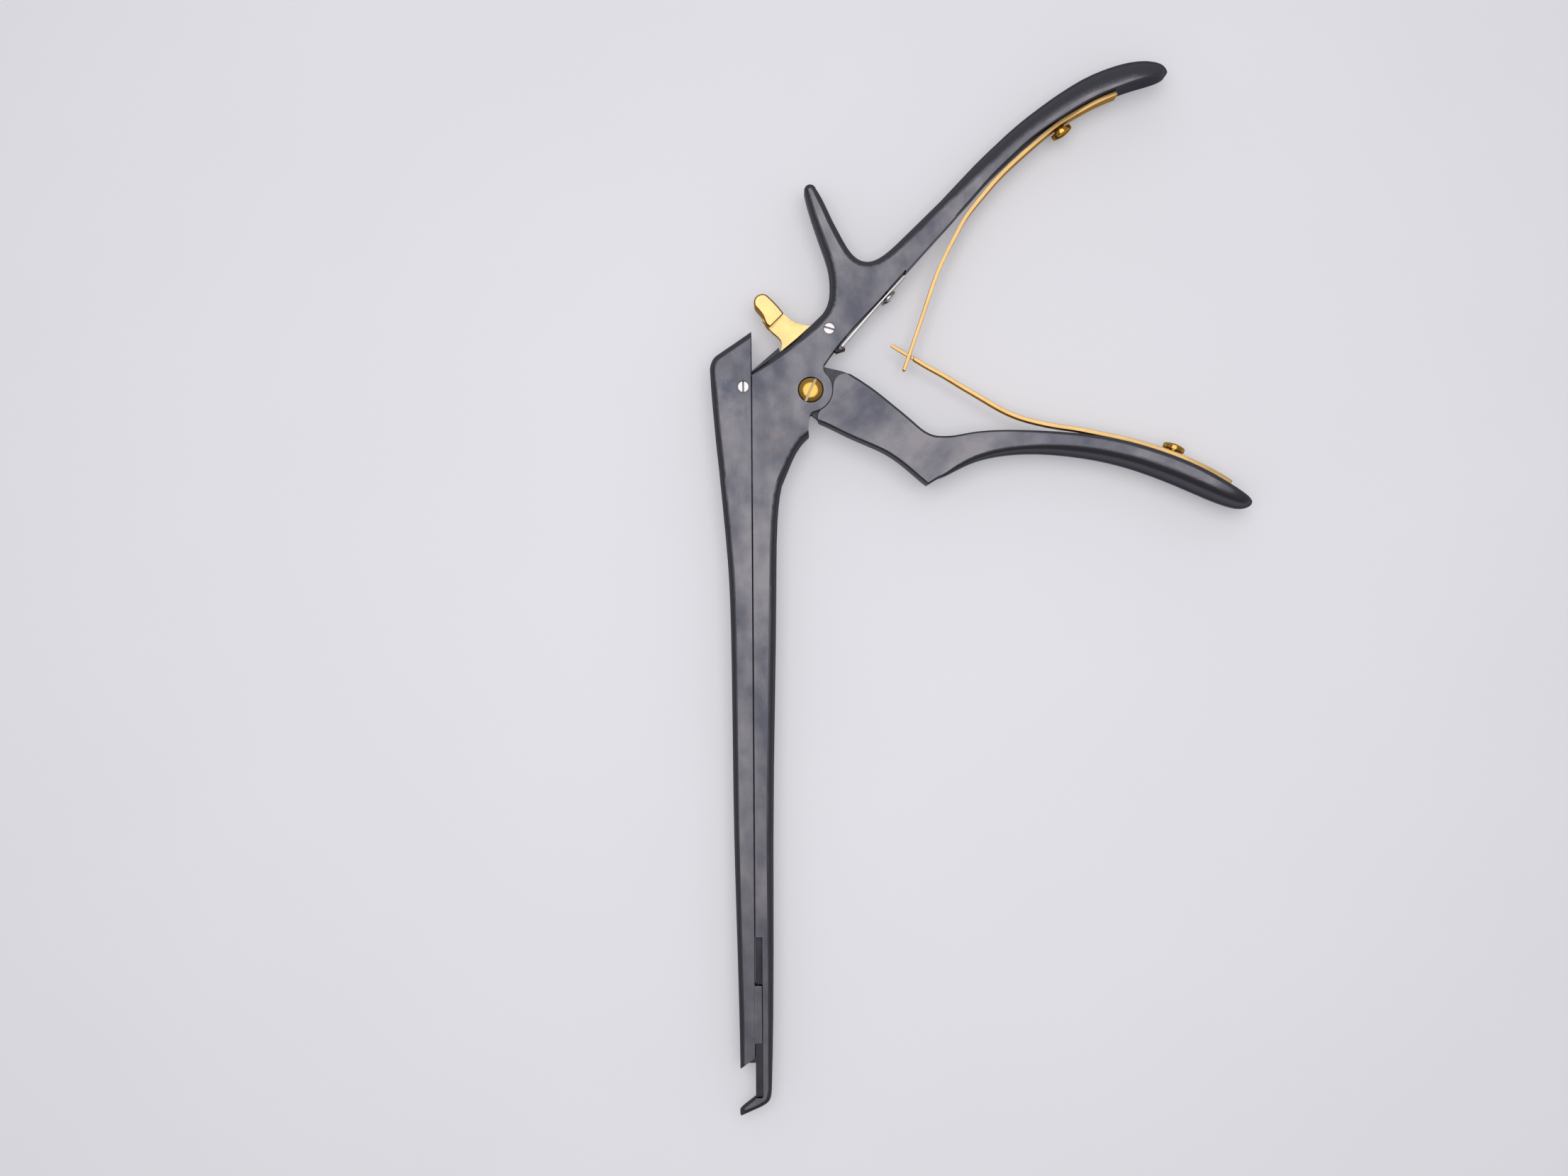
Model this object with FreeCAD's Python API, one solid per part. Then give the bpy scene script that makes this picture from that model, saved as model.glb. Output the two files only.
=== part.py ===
import FreeCAD, Part
import math
import os

# Bone rongeur, in mm. It lies on its side: +Y runs from the bite to the hand,
# +Z is up from the table, and the origin is the pivot axis on the frame's lower face.

# Frame
THICK = 9.5
MID_Z = THICK / 2
SEAM_X = -15.5
SEAM_GAP = 0.1
FRAME_SEAM = SEAM_X + SEAM_GAP / 2
SLIDER_SEAM = SEAM_X - SEAM_GAP / 2
TOP_SEAM_Y = 4.6
PLATE_END_Y = -25.0
EDGE_ROUND = 1.8
SPUR_ROUND = 1.4
BACK_ROUND = 2.2
SLIDER_ROUND = 1.7
EAR_R = 5.65
EAR_GAP = 0.25
STEP_IN = 0.02

# Shafts: the width across Z tapers to the bite
TIP_WIDTH = 4.6
TAPER_START_Y = -30.0
TAPER_END_Y = -188.0

# Slot for tongue and latch
TONGUE_W = 4.0
SLOT_SIDE = 0.1
SLOT_W = TONGUE_W + 2 * SLOT_SIDE

# Screws
RUN_FIT = 0.05
SEAT_FIT = 0.03
PIVOT_HEAD_R = 3.25
PIVOT_BORE_R = 3.4
PIVOT_SHANK_R = 2.2
PIVOT_SEAT = 1.5
PIVOT_DOME = 0.8
SMALL_HEAD_R = 1.52
SMALL_SHANK_R = 1.0
SMALL_SEAT = 0.9
SMALL_DOME = 0.12
HEAD_FIT = 0.05
SLIDER_PIN = (-17.68, 0.88)
LATCH_PIVOT = (4.96, 16.06)

# Tongue of the trigger
TRAVEL = 11.02
FORK_TIP = 4.3
FORK_TIP_GAP = 0.65
FORK_ROOT_GAP = 0.28
FORK_SLOT_W = 2 * SMALL_SHANK_R + 0.9

# Slide rail between the shafts
RAIL_FLOOR_X = -13.5
RAIL_WINDOW_Y = -143.6
RAIL_HEAD_Y = -159.0
RAIL_END_Y = -186.1
HEAD_W = 2.6
NECK_W = 1.6
HEAD_UNDER_X = -14.85
HOOK_GAP = 0.1
HOOK_TOP_Y = -156.45
HOOK_LOW_Y = -171.6

# Bite
BITE_GAP = TRAVEL + 0.08
FOOT_IN = (-15.45, -186.42)
FOOT_OUT = (-19.6, -189.6)
SHAFT_END_Y = -184.0
HEEL_ROUND = 1.1
EJECTOR_W = 1.9
EJECTOR_TOP_X = -17.3
EJECTOR_LOW_Y = -177.1
EJECTOR_BACK_Y = -172.6
CHANNEL_W = 2.2
CHANNEL_TOP_X = -17.45
CHANNEL_BACK_Y = -161.2
CUP_W = 3.1
CUP_TOP_X = -18.75
CUP_DEPTH = 5.0

# Leaf springs
LEAF_W = 6.0
LEAF_ROOT_T = 1.2
LEAF_TIP_T = 0.9
WINDOW_W = 2.6
LEAF_TONGUE_W = 2.0
LEAF_SEAT_GAP = 0.1
REAR_SCREW = (65.6, 69.6)
REAR_SCREW_DIR = (0.566, -0.824)
FRONT_SCREW = (95.2, -17.3)
FRONT_SCREW_DIR = (0.36, 0.933)
LEAF_HEAD_R = 2.9
LEAF_SHANK_R = 1.5

# Latch leaf
LATCH_LEAF_T = 0.6
LATCH_LEAF_W = 5.0
LATCH_SCREW = (20.05, 25.05)
LATCH_SCREW_DIR = (0.737, -0.676)


def vec(point, z=0.0):
    return FreeCAD.Vector(point[0], point[1], z)


def runs_face(start, runs):
    """Face from runs of points: 'line' keeps corners, 'curve' is smooth."""
    here = vec(start)
    edges = []
    for kind, points in runs:
        through = [here] + [vec(p) for p in points]
        if kind == "curve":
            spline = Part.BSplineCurve()
            spline.interpolate(through)
            edges.append(spline.toShape())
        elif kind == "arc":
            edges.append(Part.Arc(through[0], through[1], through[2]).toShape())
        else:
            for a, b in zip(through, through[1:]):
                edges.append(Part.makeLine(a, b))
        here = through[-1]
    if here.distanceToPoint(vec(start)) > 1e-6:
        edges.append(Part.makeLine(here, vec(start)))
    return Part.Face(Part.Wire(edges))


def slab(face, z_low, z_high):
    """A flat outline raised from z_low to z_high."""
    solid = face.copy()
    solid.translate(FreeCAD.Vector(0, 0, z_low))
    return solid.extrude(FreeCAD.Vector(0, 0, z_high - z_low))


def mid_slab(face, width):
    """A flat outline raised equally to both sides of the middle plane."""
    return slab(face, MID_Z - width / 2, MID_Z + width / 2)


def box(x, y, width):
    """Box over two x and two y values, centred on the middle plane."""
    low = FreeCAD.Vector(min(x), min(y), MID_Z - width / 2)
    return Part.makeBox(max(x) - min(x), max(y) - min(y), width, low)


def round_along_z(point, radius, z_low, z_high):
    return Part.makeCylinder(radius, z_high - z_low, vec(point, z_low))


def shaft_width(y):
    if y > TAPER_START_Y:
        return THICK
    part = (TAPER_START_Y - y) / (TAPER_START_Y - TAPER_END_Y)
    return THICK + (TIP_WIDTH - THICK) * min(part, 1.0)


def d_section(inner, out, depth, width, round_u, round_z, small):
    """Closed section: flat inner face, rounded outer face; out points away from the inner face."""
    length = math.hypot(out[0], out[1])
    dx = out[0] / length
    dy = out[1] / length
    half = width / 2

    def at(u, z):
        return FreeCAD.Vector(inner[0] + dx * u, inner[1] + dy * u, MID_Z + z)

    def corner(a, b, c):
        near_a = a + (b - a) * 0.5523
        near_c = c + (b - c) * 0.5523
        bezier = Part.BezierCurve()
        bezier.setPoles([a, near_a, near_c, c])
        return bezier.toShape()

    flat = depth - round_u
    wall = half - round_z
    edges = [
        Part.makeLine(at(0, -half + small), at(0, half - small)),
        corner(at(0, half - small), at(0, half), at(small, half)),
        Part.makeLine(at(small, half), at(flat, half)),
        corner(at(flat, half), at(depth, half), at(depth, wall)),
        Part.makeLine(at(depth, wall), at(depth, -wall)),
        corner(at(depth, -wall), at(depth, -half), at(flat, -half)),
        Part.makeLine(at(flat, -half), at(small, -half)),
        corner(at(small, -half), at(0, -half), at(0, -half + small)),
    ]
    return Part.Wire(edges)


def inset_start(stations):
    """Make the first section a hair smaller than the plate end it joins."""
    inner, out, depth, width, round_u, round_z, small = stations[0]
    length = math.hypot(out[0], out[1])
    moved = (inner[0] + out[0] / length * STEP_IN, inner[1] + out[1] / length * STEP_IN)
    first = (moved, out, depth - 2 * STEP_IN, width - 2 * STEP_IN, round_u, round_z, small)
    return [first] + stations[1:]


def lofted(stations):
    return Part.makeLoft([d_section(*s) for s in stations], True, False, False, 3)


def edges_where(solid, test):
    """Edges whose middle point and direction pass the test."""
    found = []
    for edge in solid.Edges:
        middle = edge.valueAt((edge.FirstParameter + edge.LastParameter) / 2)
        if test(edge, middle):
            found.append(edge)
    return found


def rounded_by_point(solid, radius_at, test):
    """Round the edges that pass the test; each end takes its radius from where it is."""
    work = FreeCAD.newDocument("rounding")
    base = work.addObject("Part::Feature", "base")
    base.Shape = solid
    chosen = []
    for number, edge in enumerate(solid.Edges, 1):
        start = edge.valueAt(edge.FirstParameter)
        end = edge.valueAt(edge.LastParameter)
        middle = edge.valueAt((edge.FirstParameter + edge.LastParameter) / 2)
        if test(edge, middle):
            chosen.append((number, radius_at(start), radius_at(end)))
    fillet = work.addObject("Part::Fillet", "fillet")
    fillet.Base = base
    fillet.Edges = chosen
    work.recompute()
    result = fillet.Shape.copy()
    FreeCAD.closeDocument(work.Name)
    return result


def on_face_z(middle):
    return abs(middle.z) < 0.01 or abs(middle.z - THICK) < 0.01


def slotted_screw(head_r, head_h, dome, shank_r, shank_l, slot_w, slot_d, slot_deg):
    """Screw along +Z: the underside of the head is at z = 0, the shank hangs below."""
    rim = head_r - min(0.25, head_h / 3)
    profile = [
        FreeCAD.Vector(0, 0, -shank_l),
        FreeCAD.Vector(shank_r, 0, -shank_l),
        FreeCAD.Vector(shank_r, 0, 0),
        FreeCAD.Vector(head_r, 0, 0),
        FreeCAD.Vector(head_r, 0, head_h),
    ]
    edges = [Part.makeLine(a, b) for a, b in zip(profile, profile[1:])]
    top = FreeCAD.Vector(0, 0, head_h + dome)
    shoulder = FreeCAD.Vector(rim, 0, head_h + dome * 0.35)
    edges.append(Part.makeLine(profile[-1], shoulder))
    halfway = FreeCAD.Vector(rim * 0.55, 0, head_h + dome * 0.83)
    edges.append(Part.Arc(shoulder, halfway, top).toShape())
    edges.append(Part.makeLine(top, profile[0]))
    screw = Part.Face(Part.Wire(edges)).revolve(FreeCAD.Vector(0, 0, 0), FreeCAD.Vector(0, 0, 1), 360)
    cut = Part.makeBox(head_r * 3, slot_w, slot_d + dome + 1, FreeCAD.Vector(-head_r * 1.5, -slot_w / 2, head_h - slot_d))
    cut.rotate(FreeCAD.Vector(0, 0, 0), FreeCAD.Vector(0, 0, 1), slot_deg)
    return screw.cut(cut)


def side_screw(screw, point, direction):
    """Turn a screw so that its head looks along an XY direction at the middle plane."""
    turned = screw.copy()
    aim = FreeCAD.Rotation(FreeCAD.Vector(0, 0, 1), FreeCAD.Vector(direction[0], direction[1], 0))
    turned.Placement = FreeCAD.Placement(vec(point, MID_Z), aim)
    return turned


def side_bore(point, direction, radius, depth):
    """Round hole from a seat point inward, against the screw's direction."""
    inward = FreeCAD.Vector(-direction[0], -direction[1], 0)
    start = vec(point, MID_Z) - inward * 2
    return Part.makeCylinder(radius, depth + 2, start, inward)


def frame_plate():
    """The flat slotted plate with its spur, down to the start of the shaft."""
    face = runs_face((FRAME_SEAM, TOP_SEAM_Y), [
        ("curve", [(-10.0, 8.5), (-5.0, 12.5), (0.3, 17.2), (3.2, 20.0)]),
        ("curve", [(4.5, 22.3), (5.25, 27.0), (4.7, 32.5), (3.1, 37.6), (0.55, 45.1), (-0.9, 50.2), (-1.4, 52.4)]),
        ("arc", [(0.1, 54.0), (1.65, 52.9)]),
        ("curve", [(3.3, 50.1), (5.7, 45.0), (8.3, 40.0), (10.8, 36.0), (13.1, 34.1), (15.3, 33.65),
                   (18.0, 34.5), (22.0, 37.5), (26.0, 41.3), (30.0, 45.2), (34.15, 49.25)]),
        ("line", [(38.3, 45.25)]),
        ("curve", [(35.0, 41.7), (30.0, 36.2), (25.25, 31.0)]),
        ("line", [(24.95, 31.25)]),
        ("curve", [(20.0, 25.65), (15.0, 20.25), (12.0, 17.2), (9.0, 13.8), (6.5, 10.8), (3.4, 6.5)]),
        ("line", [(3.3, 5.6)]),
        ("curve", [(3.4, 4.9), (3.8, 4.18)]),
        ("arc", [(EAR_R, 0.0), (0.95, -5.57)]),
        ("curve", [(0.0, -6.2), (-0.4, -7.3), (-0.7, -10.0)]),
        ("line", [(-0.5, -12.2)]),
        ("curve", [(-3.07, -15.0), (-5.65, -20.0), (-7.7, PLATE_END_Y)]),
        ("line", [(FRAME_SEAM, PLATE_END_Y)]),
    ])
    plate = slab(face, 0, THICK)

    def rounded(edge, middle):
        if not on_face_z(middle):
            return False
        start = edge.valueAt(edge.FirstParameter)
        end = edge.valueAt(edge.LastParameter)
        if abs(start.x - FRAME_SEAM) < 0.01 and abs(end.x - FRAME_SEAM) < 0.01:
            return False
        upper = middle.y > middle.x * 0.96 + 12.9 and middle.x > FRAME_SEAM + 0.1
        lower = middle.y < -12.3 and middle.y > PLATE_END_Y + 0.1
        across = abs(start.x - end.x) > 4.0 and abs(start.x + start.y - end.x - end.y) < 0.3
        return (upper and not across) or lower

    def radius_at(point):
        if point.y > 50.0 and point.x < 10.0:
            return SPUR_ROUND
        if point.y > 10.0:
            return BACK_ROUND
        if point.y > -11.0:
            return 1.0
        return EDGE_ROUND

    return rounded_by_point(plate, radius_at, rounded)


def lower_shaft():
    """Shaft below the plate, with a flat top on the seam and a round underside."""
    stations = []
    for y, x, side, up in [
        (PLATE_END_Y, -7.7, EDGE_ROUND, EDGE_ROUND),
        (-30.0, -8.55, 1.8, 1.8),
        (-37.0, -9.05, 1.8, 1.8),
        (-50.0, -9.3, 1.9, 1.8),
        (-85.0, -9.93, 2.0, 1.8),
        (-135.0, -10.55, 1.7, 1.6),
        (SHAFT_END_Y, -11.26, HEEL_ROUND, HEEL_ROUND),
    ]:
        stations.append(((FRAME_SEAM, y), (1, 0), x - FRAME_SEAM, shaft_width(y), side, up, 0.15))
    return lofted(inset_start(stations))


def footplate():
    """The fixed jaw and the heel, its inner face parallel to the cutting end."""
    start_y = SHAFT_END_Y + 0.1
    width = shaft_width(SHAFT_END_Y) - 2 * STEP_IN
    side_x = -11.26 - STEP_IN
    far_x = FOOT_IN[0] + 1.8 * (FOOT_OUT[0] - FOOT_IN[0])
    far_y = FOOT_IN[1] + 1.8 * (FOOT_OUT[1] - FOOT_IN[1])
    face = runs_face((side_x, start_y), [
        ("line", [(FOOT_IN[0] - STEP_IN, start_y), (FOOT_IN[0] - STEP_IN, FOOT_IN[1]), (far_x, far_y), (far_x, -192.45), (-14.3, -188.66)]),
        ("curve", [(-12.9, -187.88), (-11.95, -187.0), (-11.5, -185.9), (-11.32, -184.8), (side_x, start_y)]),
    ])
    foot = mid_slab(face, width)

    def under(edge, middle):
        on_side = abs(abs(middle.z - MID_Z) - width / 2) < 0.01
        below = middle.y < -190.0 and middle.x > far_x + 0.1
        return on_side and (below or middle.x > -12.5)
    foot = foot.makeFillet(HEEL_ROUND, edges_where(foot, under))
    end_x = FOOT_OUT[0] - 0.04
    plan = d_section((-8.0, start_y), (-1, 0), -8.0 - end_x, width, 1.4, 1.4, 0.15)
    keep = Part.Face(plan).extrude(FreeCAD.Vector(0, -10.0, 0))
    tip = runs_face((-8.0, -180.0), [
        ("line", [(end_x, -180.0), (end_x, -190.1)]),
        ("arc", [(-19.45, -190.62), (-19.0, -190.85)]),
        ("line", [(-18.9, -195.0), (-8.0, -195.0)]),
    ])
    return foot.common(keep).common(mid_slab(tip, THICK))


def rail_cuts(solid):
    """Cut both sides of the lower shaft so that a T-rail stands on the middle plane."""
    wide = 2 * THICK
    side = box((FRAME_SEAM - 1, RAIL_FLOOR_X), (RAIL_END_Y + 0.6, RAIL_WINDOW_Y), wide)
    end = Part.makeCylinder(0.6, wide, FreeCAD.Vector(RAIL_FLOOR_X - 0.6, RAIL_END_Y + 0.6, MID_Z - THICK),
                            FreeCAD.Vector(0, 0, 1))
    neck_up = box((FRAME_SEAM - 1, RAIL_FLOOR_X - 0.6), (RAIL_END_Y, RAIL_END_Y + 0.6), wide)
    removed = side.fuse([end, neck_up])
    neck = box((FRAME_SEAM, RAIL_FLOOR_X + 1), (RAIL_END_Y - 1, RAIL_WINDOW_Y + 1), NECK_W)
    head = box((FRAME_SEAM, HEAD_UNDER_X), (RAIL_END_Y - 1, RAIL_HEAD_Y), HEAD_W)
    return solid.cut(removed.cut(neck.fuse(head)))


def rear_grip():
    """Rear handle, widening across Z towards its rounded tip."""
    stations = [
        ((38.3, 45.25), (-4.15, 4.0), 5.76, THICK, BACK_ROUND, BACK_ROUND, 0.15),
        ((41.6, 48.95), (-0.735, 0.678), 5.6, 9.6, 2.6, 2.5, 0.2),
        ((45.0, 52.75), (-0.73, 0.683), 5.5, 9.8, 3.1, 2.95, 0.25),
        ((50.0, 57.95), (-0.715, 0.70), 5.4, 10.2, 3.75, 3.6, 0.3),
        ((55.0, 62.65), (-0.665, 0.747), 5.4, 10.6, 4.0, 4.1, 0.3),
        ((60.0, 66.8), (-0.60, 0.80), 5.5, 11.0, 4.1, 4.5, 0.3),
        ((65.0, 70.2), (-0.55, 0.835), 5.8, 11.4, 4.4, 4.8, 0.3),
        ((70.0, 73.3), (-0.50, 0.866), 6.1, 11.8, 4.7, 5.1, 0.3),
        ((75.0, 76.0), (-0.43, 0.90), 6.35, 12.2, 5.1, 5.4, 0.3),
        ((80.0, 78.1), (-0.35, 0.937), 6.45, 12.6, 5.4, 5.7, 0.3),
        ((85.0, 79.85), (-0.22, 0.975), 6.2, 12.8, 5.3, 5.9, 0.3),
        ((88.6, 80.85), (-0.08, 0.997), 5.6, 12.2, 4.8, 5.7, 0.3),
        ((91.3, 81.5), (0.08, 0.997), 4.6, 10.6, 3.9, 5.0, 0.3),
        ((93.0, 81.95), (0.25, 0.968), 3.1, 8.0, 2.6, 3.7, 0.25),
        ((93.9, 82.35), (0.45, 0.89), 1.4, 5.0, 1.05, 2.3, 0.2),
    ]
    return lofted(inset_start(stations))


def slot_space():
    """Slot through the frame for the tongue and the latch, between two cheeks."""
    return runs_face((-17.0, -14.3), [
        ("line", [(-9.0, -11.6), (1.2, -7.45), (9.0, -7.45), (9.0, 6.0), (10.2, 11.2), (9.9, 14.0)]),
        ("curve", [(8.7, 15.6), (8.2, 17.2), (6.6, 18.9), (4.4, 19.5)]),
        ("line", [(2.6, 20.4), (-17.0, 20.4)]),
    ])


def fixed_frame():
    body = frame_plate().fuse([lower_shaft(), footplate(), rear_grip()])
    body = rail_cuts(body).removeSplitter()
    body = body.cut(mid_slab(slot_space(), SLOT_W))
    tools = [
        round_along_z((0, 0), PIVOT_SHANK_R + SEAT_FIT, 1.0, THICK + 1),
        round_along_z((0, 0), PIVOT_BORE_R, THICK - PIVOT_SEAT, THICK + 1),
        round_along_z(LATCH_PIVOT, SMALL_SHANK_R + SEAT_FIT, 1.0, THICK + 1),
        round_along_z(LATCH_PIVOT, SMALL_HEAD_R + HEAD_FIT, THICK - SMALL_SEAT, THICK + 1),
        side_bore(REAR_SCREW, REAR_SCREW_DIR, LEAF_SHANK_R + SEAT_FIT, 4.0),
        side_bore(LATCH_SCREW, LATCH_SCREW_DIR, 1.25 + SEAT_FIT, 3.5),
    ]
    return body.cut(tools[0].fuse(tools[1:]))


def ejector():
    """Small fixed block on the rail that pushes the chip out of the hollow end."""
    back = EJECTOR_BACK_Y
    block = box((EJECTOR_TOP_X, FRAME_SEAM - 0.02), (EJECTOR_LOW_Y, back), EJECTOR_W)
    slope = Part.makeBox(4, 4, 4, FreeCAD.Vector(-2, 0, -2))
    slope.rotate(FreeCAD.Vector(0, 0, 0), FreeCAD.Vector(0, 0, 1), 40)
    slope.translate(FreeCAD.Vector(EJECTOR_TOP_X, back - 0.9, MID_Z))
    return block.cut(slope)


def slider_plate():
    face = runs_face((SLIDER_SEAM, PLATE_END_Y), [
        ("line", [(SLIDER_SEAM, 15.4), (-20.0, 12.35), (-24.4, 9.4)]),
        ("curve", [(-25.75, 8.0), (-26.35, 6.3), (-26.4, 5.0)]),
        ("curve", [(-26.1, 0.0), (-25.7, -5.0), (-25.25, -10.0), (-24.8, -15.0), (-24.25, -20.0),
                   (-23.8, PLATE_END_Y)]),
    ])
    plate = slab(face, 0, THICK)

    def outer(edge, middle):
        return on_face_z(middle) and middle.x < SLIDER_SEAM - 0.2 and middle.y > PLATE_END_Y + 0.1
    return plate.makeFillet(SLIDER_ROUND, edges_where(plate, outer))


def slider_shaft():
    stations = []
    for y, x, side, up in [
        (PLATE_END_Y, -23.8, SLIDER_ROUND, SLIDER_ROUND),
        (-30.0, -23.3, 1.7, 1.7),
        (-40.0, -22.4, 1.7, 1.65),
        (-50.0, -21.7, 1.65, 1.6),
        (-60.0, -21.35, 1.6, 1.5),
        (-85.0, -21.06, 1.5, 1.5),
        (-135.0, -20.4, 1.4, 1.4),
        (-182.0, -19.5, 1.2, 1.2),
    ]:
        stations.append(((-SLIDER_SEAM, y), (1, 0), SLIDER_SEAM - x, shaft_width(y), side, up, 0.15))
    return lofted(inset_start(stations)).mirror(FreeCAD.Vector(0, 0, 0), FreeCAD.Vector(1, 0, 0))


def cut_end():
    """Everything beyond the slanted cutting plane, which is parallel to the footplate."""
    shift = BITE_GAP
    a = (FOOT_IN[0], FOOT_IN[1] + shift)
    b = (FOOT_OUT[0], FOOT_OUT[1] + shift)
    dx = b[0] - a[0]
    dy = b[1] - a[1]
    near = (a[0] - dx, a[1] - dy)
    far = (b[0] + dx, b[1] + dy)
    face = runs_face(near, [("line", [far, (far[0], -200.0), (near[0], -200.0)])])
    return mid_slab(face, 2 * THICK)


def cup_space():
    """Hollow behind the cutting edge, open to the rail through a narrow channel."""
    shift = BITE_GAP
    corner = FOOT_OUT[1] + shift
    high = SLIDER_SEAM - 0.75
    face = runs_face((high, -190.0), [
        ("line", [(CUP_TOP_X, -190.0), (CUP_TOP_X, corner + CUP_DEPTH - 1.0)]),
        ("curve", [(CUP_TOP_X + 0.4, corner + CUP_DEPTH - 0.2), (CUP_TOP_X + 1.3, corner + CUP_DEPTH)]),
        ("line", [(high, corner + CUP_DEPTH)]),
    ])
    cup = mid_slab(face, CUP_W)
    channel = box((CHANNEL_TOP_X, SLIDER_SEAM + 1), (-190.0, CHANNEL_BACK_Y), CHANNEL_W)
    return cup.fuse(channel)


def hooked_lugs():
    """Two hooks that hang from the slider and reach under the head of the T-rail."""
    low_x = RAIL_FLOOR_X - 0.12
    deep = 1.1
    sections = []
    for y in (HOOK_TOP_Y + 1, HOOK_LOW_Y - 1):
        depth = low_x - SLIDER_SEAM + deep
        sections.append(((-low_x, y), (1, 0), depth, shaft_width(y) - 2 * STEP_IN, 0.3, 0.3, 0.15))
    block = lofted(sections).mirror(FreeCAD.Vector(0, 0, 0), FreeCAD.Vector(1, 0, 0))
    back_x = SLIDER_SEAM - deep - 1
    turn = 0.4
    off = turn * 0.293
    outline = runs_face((back_x, HOOK_TOP_Y), [
        ("line", [(low_x - turn, HOOK_TOP_Y)]),
        ("arc", [(low_x - off, HOOK_TOP_Y - off), (low_x, HOOK_TOP_Y - turn)]),
        ("line", [(low_x, HOOK_LOW_Y + turn)]),
        ("arc", [(low_x - off, HOOK_LOW_Y + off), (low_x - turn, HOOK_LOW_Y)]),
        ("line", [(back_x, HOOK_LOW_Y)]),
    ])
    block = block.common(mid_slab(outline, THICK))
    head = box((SLIDER_SEAM - 1, HEAD_UNDER_X + HOOK_GAP), (HOOK_LOW_Y - 1, HOOK_TOP_Y + 1), HEAD_W + 2 * HOOK_GAP)
    neck = box((SLIDER_SEAM, RAIL_FLOOR_X + 1), (HOOK_LOW_Y - 1, HOOK_TOP_Y + 1), NECK_W + 2 * HOOK_GAP)
    root = box((SLIDER_SEAM - 0.5, SLIDER_SEAM), (HOOK_LOW_Y, HOOK_TOP_Y), HEAD_W + 2 * HOOK_GAP + 1.0)
    root = root.cut(box((SLIDER_SEAM - 1, SLIDER_SEAM + 1), (HOOK_LOW_Y - 1, HOOK_TOP_Y + 1), HEAD_W + 2 * HOOK_GAP))
    return block.cut(head.fuse(neck)).fuse(root)


def slider_slot():
    """Slot in the slider that takes the forked end of the tongue."""
    floor = fork_end_radius() + FORK_TIP_GAP
    return runs_face((SLIDER_SEAM + 1, -6.4), [
        ("line", [(-19.5, -6.4)]),
        ("curve", [fork_point(floor, -4.4), fork_point(floor, 0.9), fork_point(floor - 0.1, 6.2)]),
        ("line", [(-17.6, 9.9), (SLIDER_SEAM + 1, 10.9)]),
    ])


def sliding_shaft():
    body = slider_plate().fuse(slider_shaft()).removeSplitter()
    body = body.cut(cut_end())
    body = body.fuse(hooked_lugs())
    body = body.cut(cup_space().fuse(mid_slab(slider_slot(), SLOT_W)))
    pin = round_along_z(SLIDER_PIN, SMALL_SHANK_R + SEAT_FIT, 1.0, THICK + 1)
    head = round_along_z(SLIDER_PIN, SMALL_HEAD_R + HEAD_FIT, THICK - SMALL_SEAT, THICK + 1)
    return body.cut(pin.fuse(head))


def fork_end_radius():
    """How far the fork reaches from the pivot: past the pin by FORK_TIP."""
    return -SLIDER_PIN[0] + FORK_TIP


def fork_point(radius, y):
    return (-math.sqrt(radius * radius - y * y), y)


def tongue():
    """Thin tongue round the pivot, with a fork for the slider pin."""
    fork_end = fork_end_radius()
    high = fork_point(fork_end, 3.83)
    low = fork_point(fork_end, -1.66)
    root = -SLIDER_PIN[0] - SMALL_SHANK_R - FORK_ROOT_GAP
    face = runs_face(high, [
        ("line", [(-17.9, 3.7)]),
        ("curve", [(-16.5, 4.3), (-15.3, 5.4)]),
        ("line", [(-8.3, 11.4), (-7.95, 10.0)]),
        ("curve", [(-5.5, 8.4), (-2.0, 7.3), (3.3, 6.25), (6.0, 5.6), (8.5, 5.0), (10.5, 4.05)]),
        ("line", [(13.0, -4.0), (5.0, -9.0), (2.3, -8.3)]),
        ("curve", [(1.5, -7.4), (0.2, -6.4), (-2.0, -5.75)]),
        ("curve", [(-7.0, -4.2), (-12.0, -2.85), (-17.0, -1.95), low]),
        ("arc", [fork_point(fork_end, 1.1), high]),
    ])
    solid = mid_slab(face, TONGUE_W)
    angle = math.degrees(math.atan2(SLIDER_PIN[1], SLIDER_PIN[0]))
    slot = box((root + FORK_SLOT_W / 2, fork_end + 3), (-FORK_SLOT_W / 2, FORK_SLOT_W / 2), THICK)
    slot = slot.fuse(round_along_z((root + FORK_SLOT_W / 2, 0), FORK_SLOT_W / 2, 0, THICK))
    slot.rotate(FreeCAD.Vector(0, 0, 0), FreeCAD.Vector(0, 0, 1), angle)
    return solid.cut(slot)


def trigger_plate():
    """Full-thickness front part of the trigger, cut round the frame's ear."""
    ear = EAR_R + EAR_GAP
    face = runs_face((10.5, 4.05), [
        ("curve", [(13.0, 2.5), (16.0, 0.45), (20.0, -2.7), (24.0, -6.0), (27.0, -8.6), (29.0, -10.35),
                   (31.0, -11.6), (33.5, -12.25)]),
        ("line", [(33.5, -23.3)]),
        ("curve", [(32.2, -24.1), (30.6, -25.05)]),
        ("curve", [(28.0, -22.9), (25.0, -20.3), (20.0, -16.7), (15.0, -14.3), (10.0, -12.1), (5.0, -9.6),
                   (2.3, -8.4)]),
        ("curve", [(1.85, -7.5), (1.95, -6.5), (2.72, -5.24)]),
        ("arc", [(5.45, -2.26), (ear, 0.0)]),
        ("curve", [(6.05, 1.5), (6.6, 2.9), (7.6, 3.8), (8.9, 4.15), (10.5, 4.05)]),
    ])
    plate = slab(face, 0, THICK)

    def long_edges(edge, middle):
        return on_face_z(middle) and middle.x > 11.0 and middle.x < 33.0
    return plate.makeFillet(0.6, edges_where(plate, long_edges))


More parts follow.
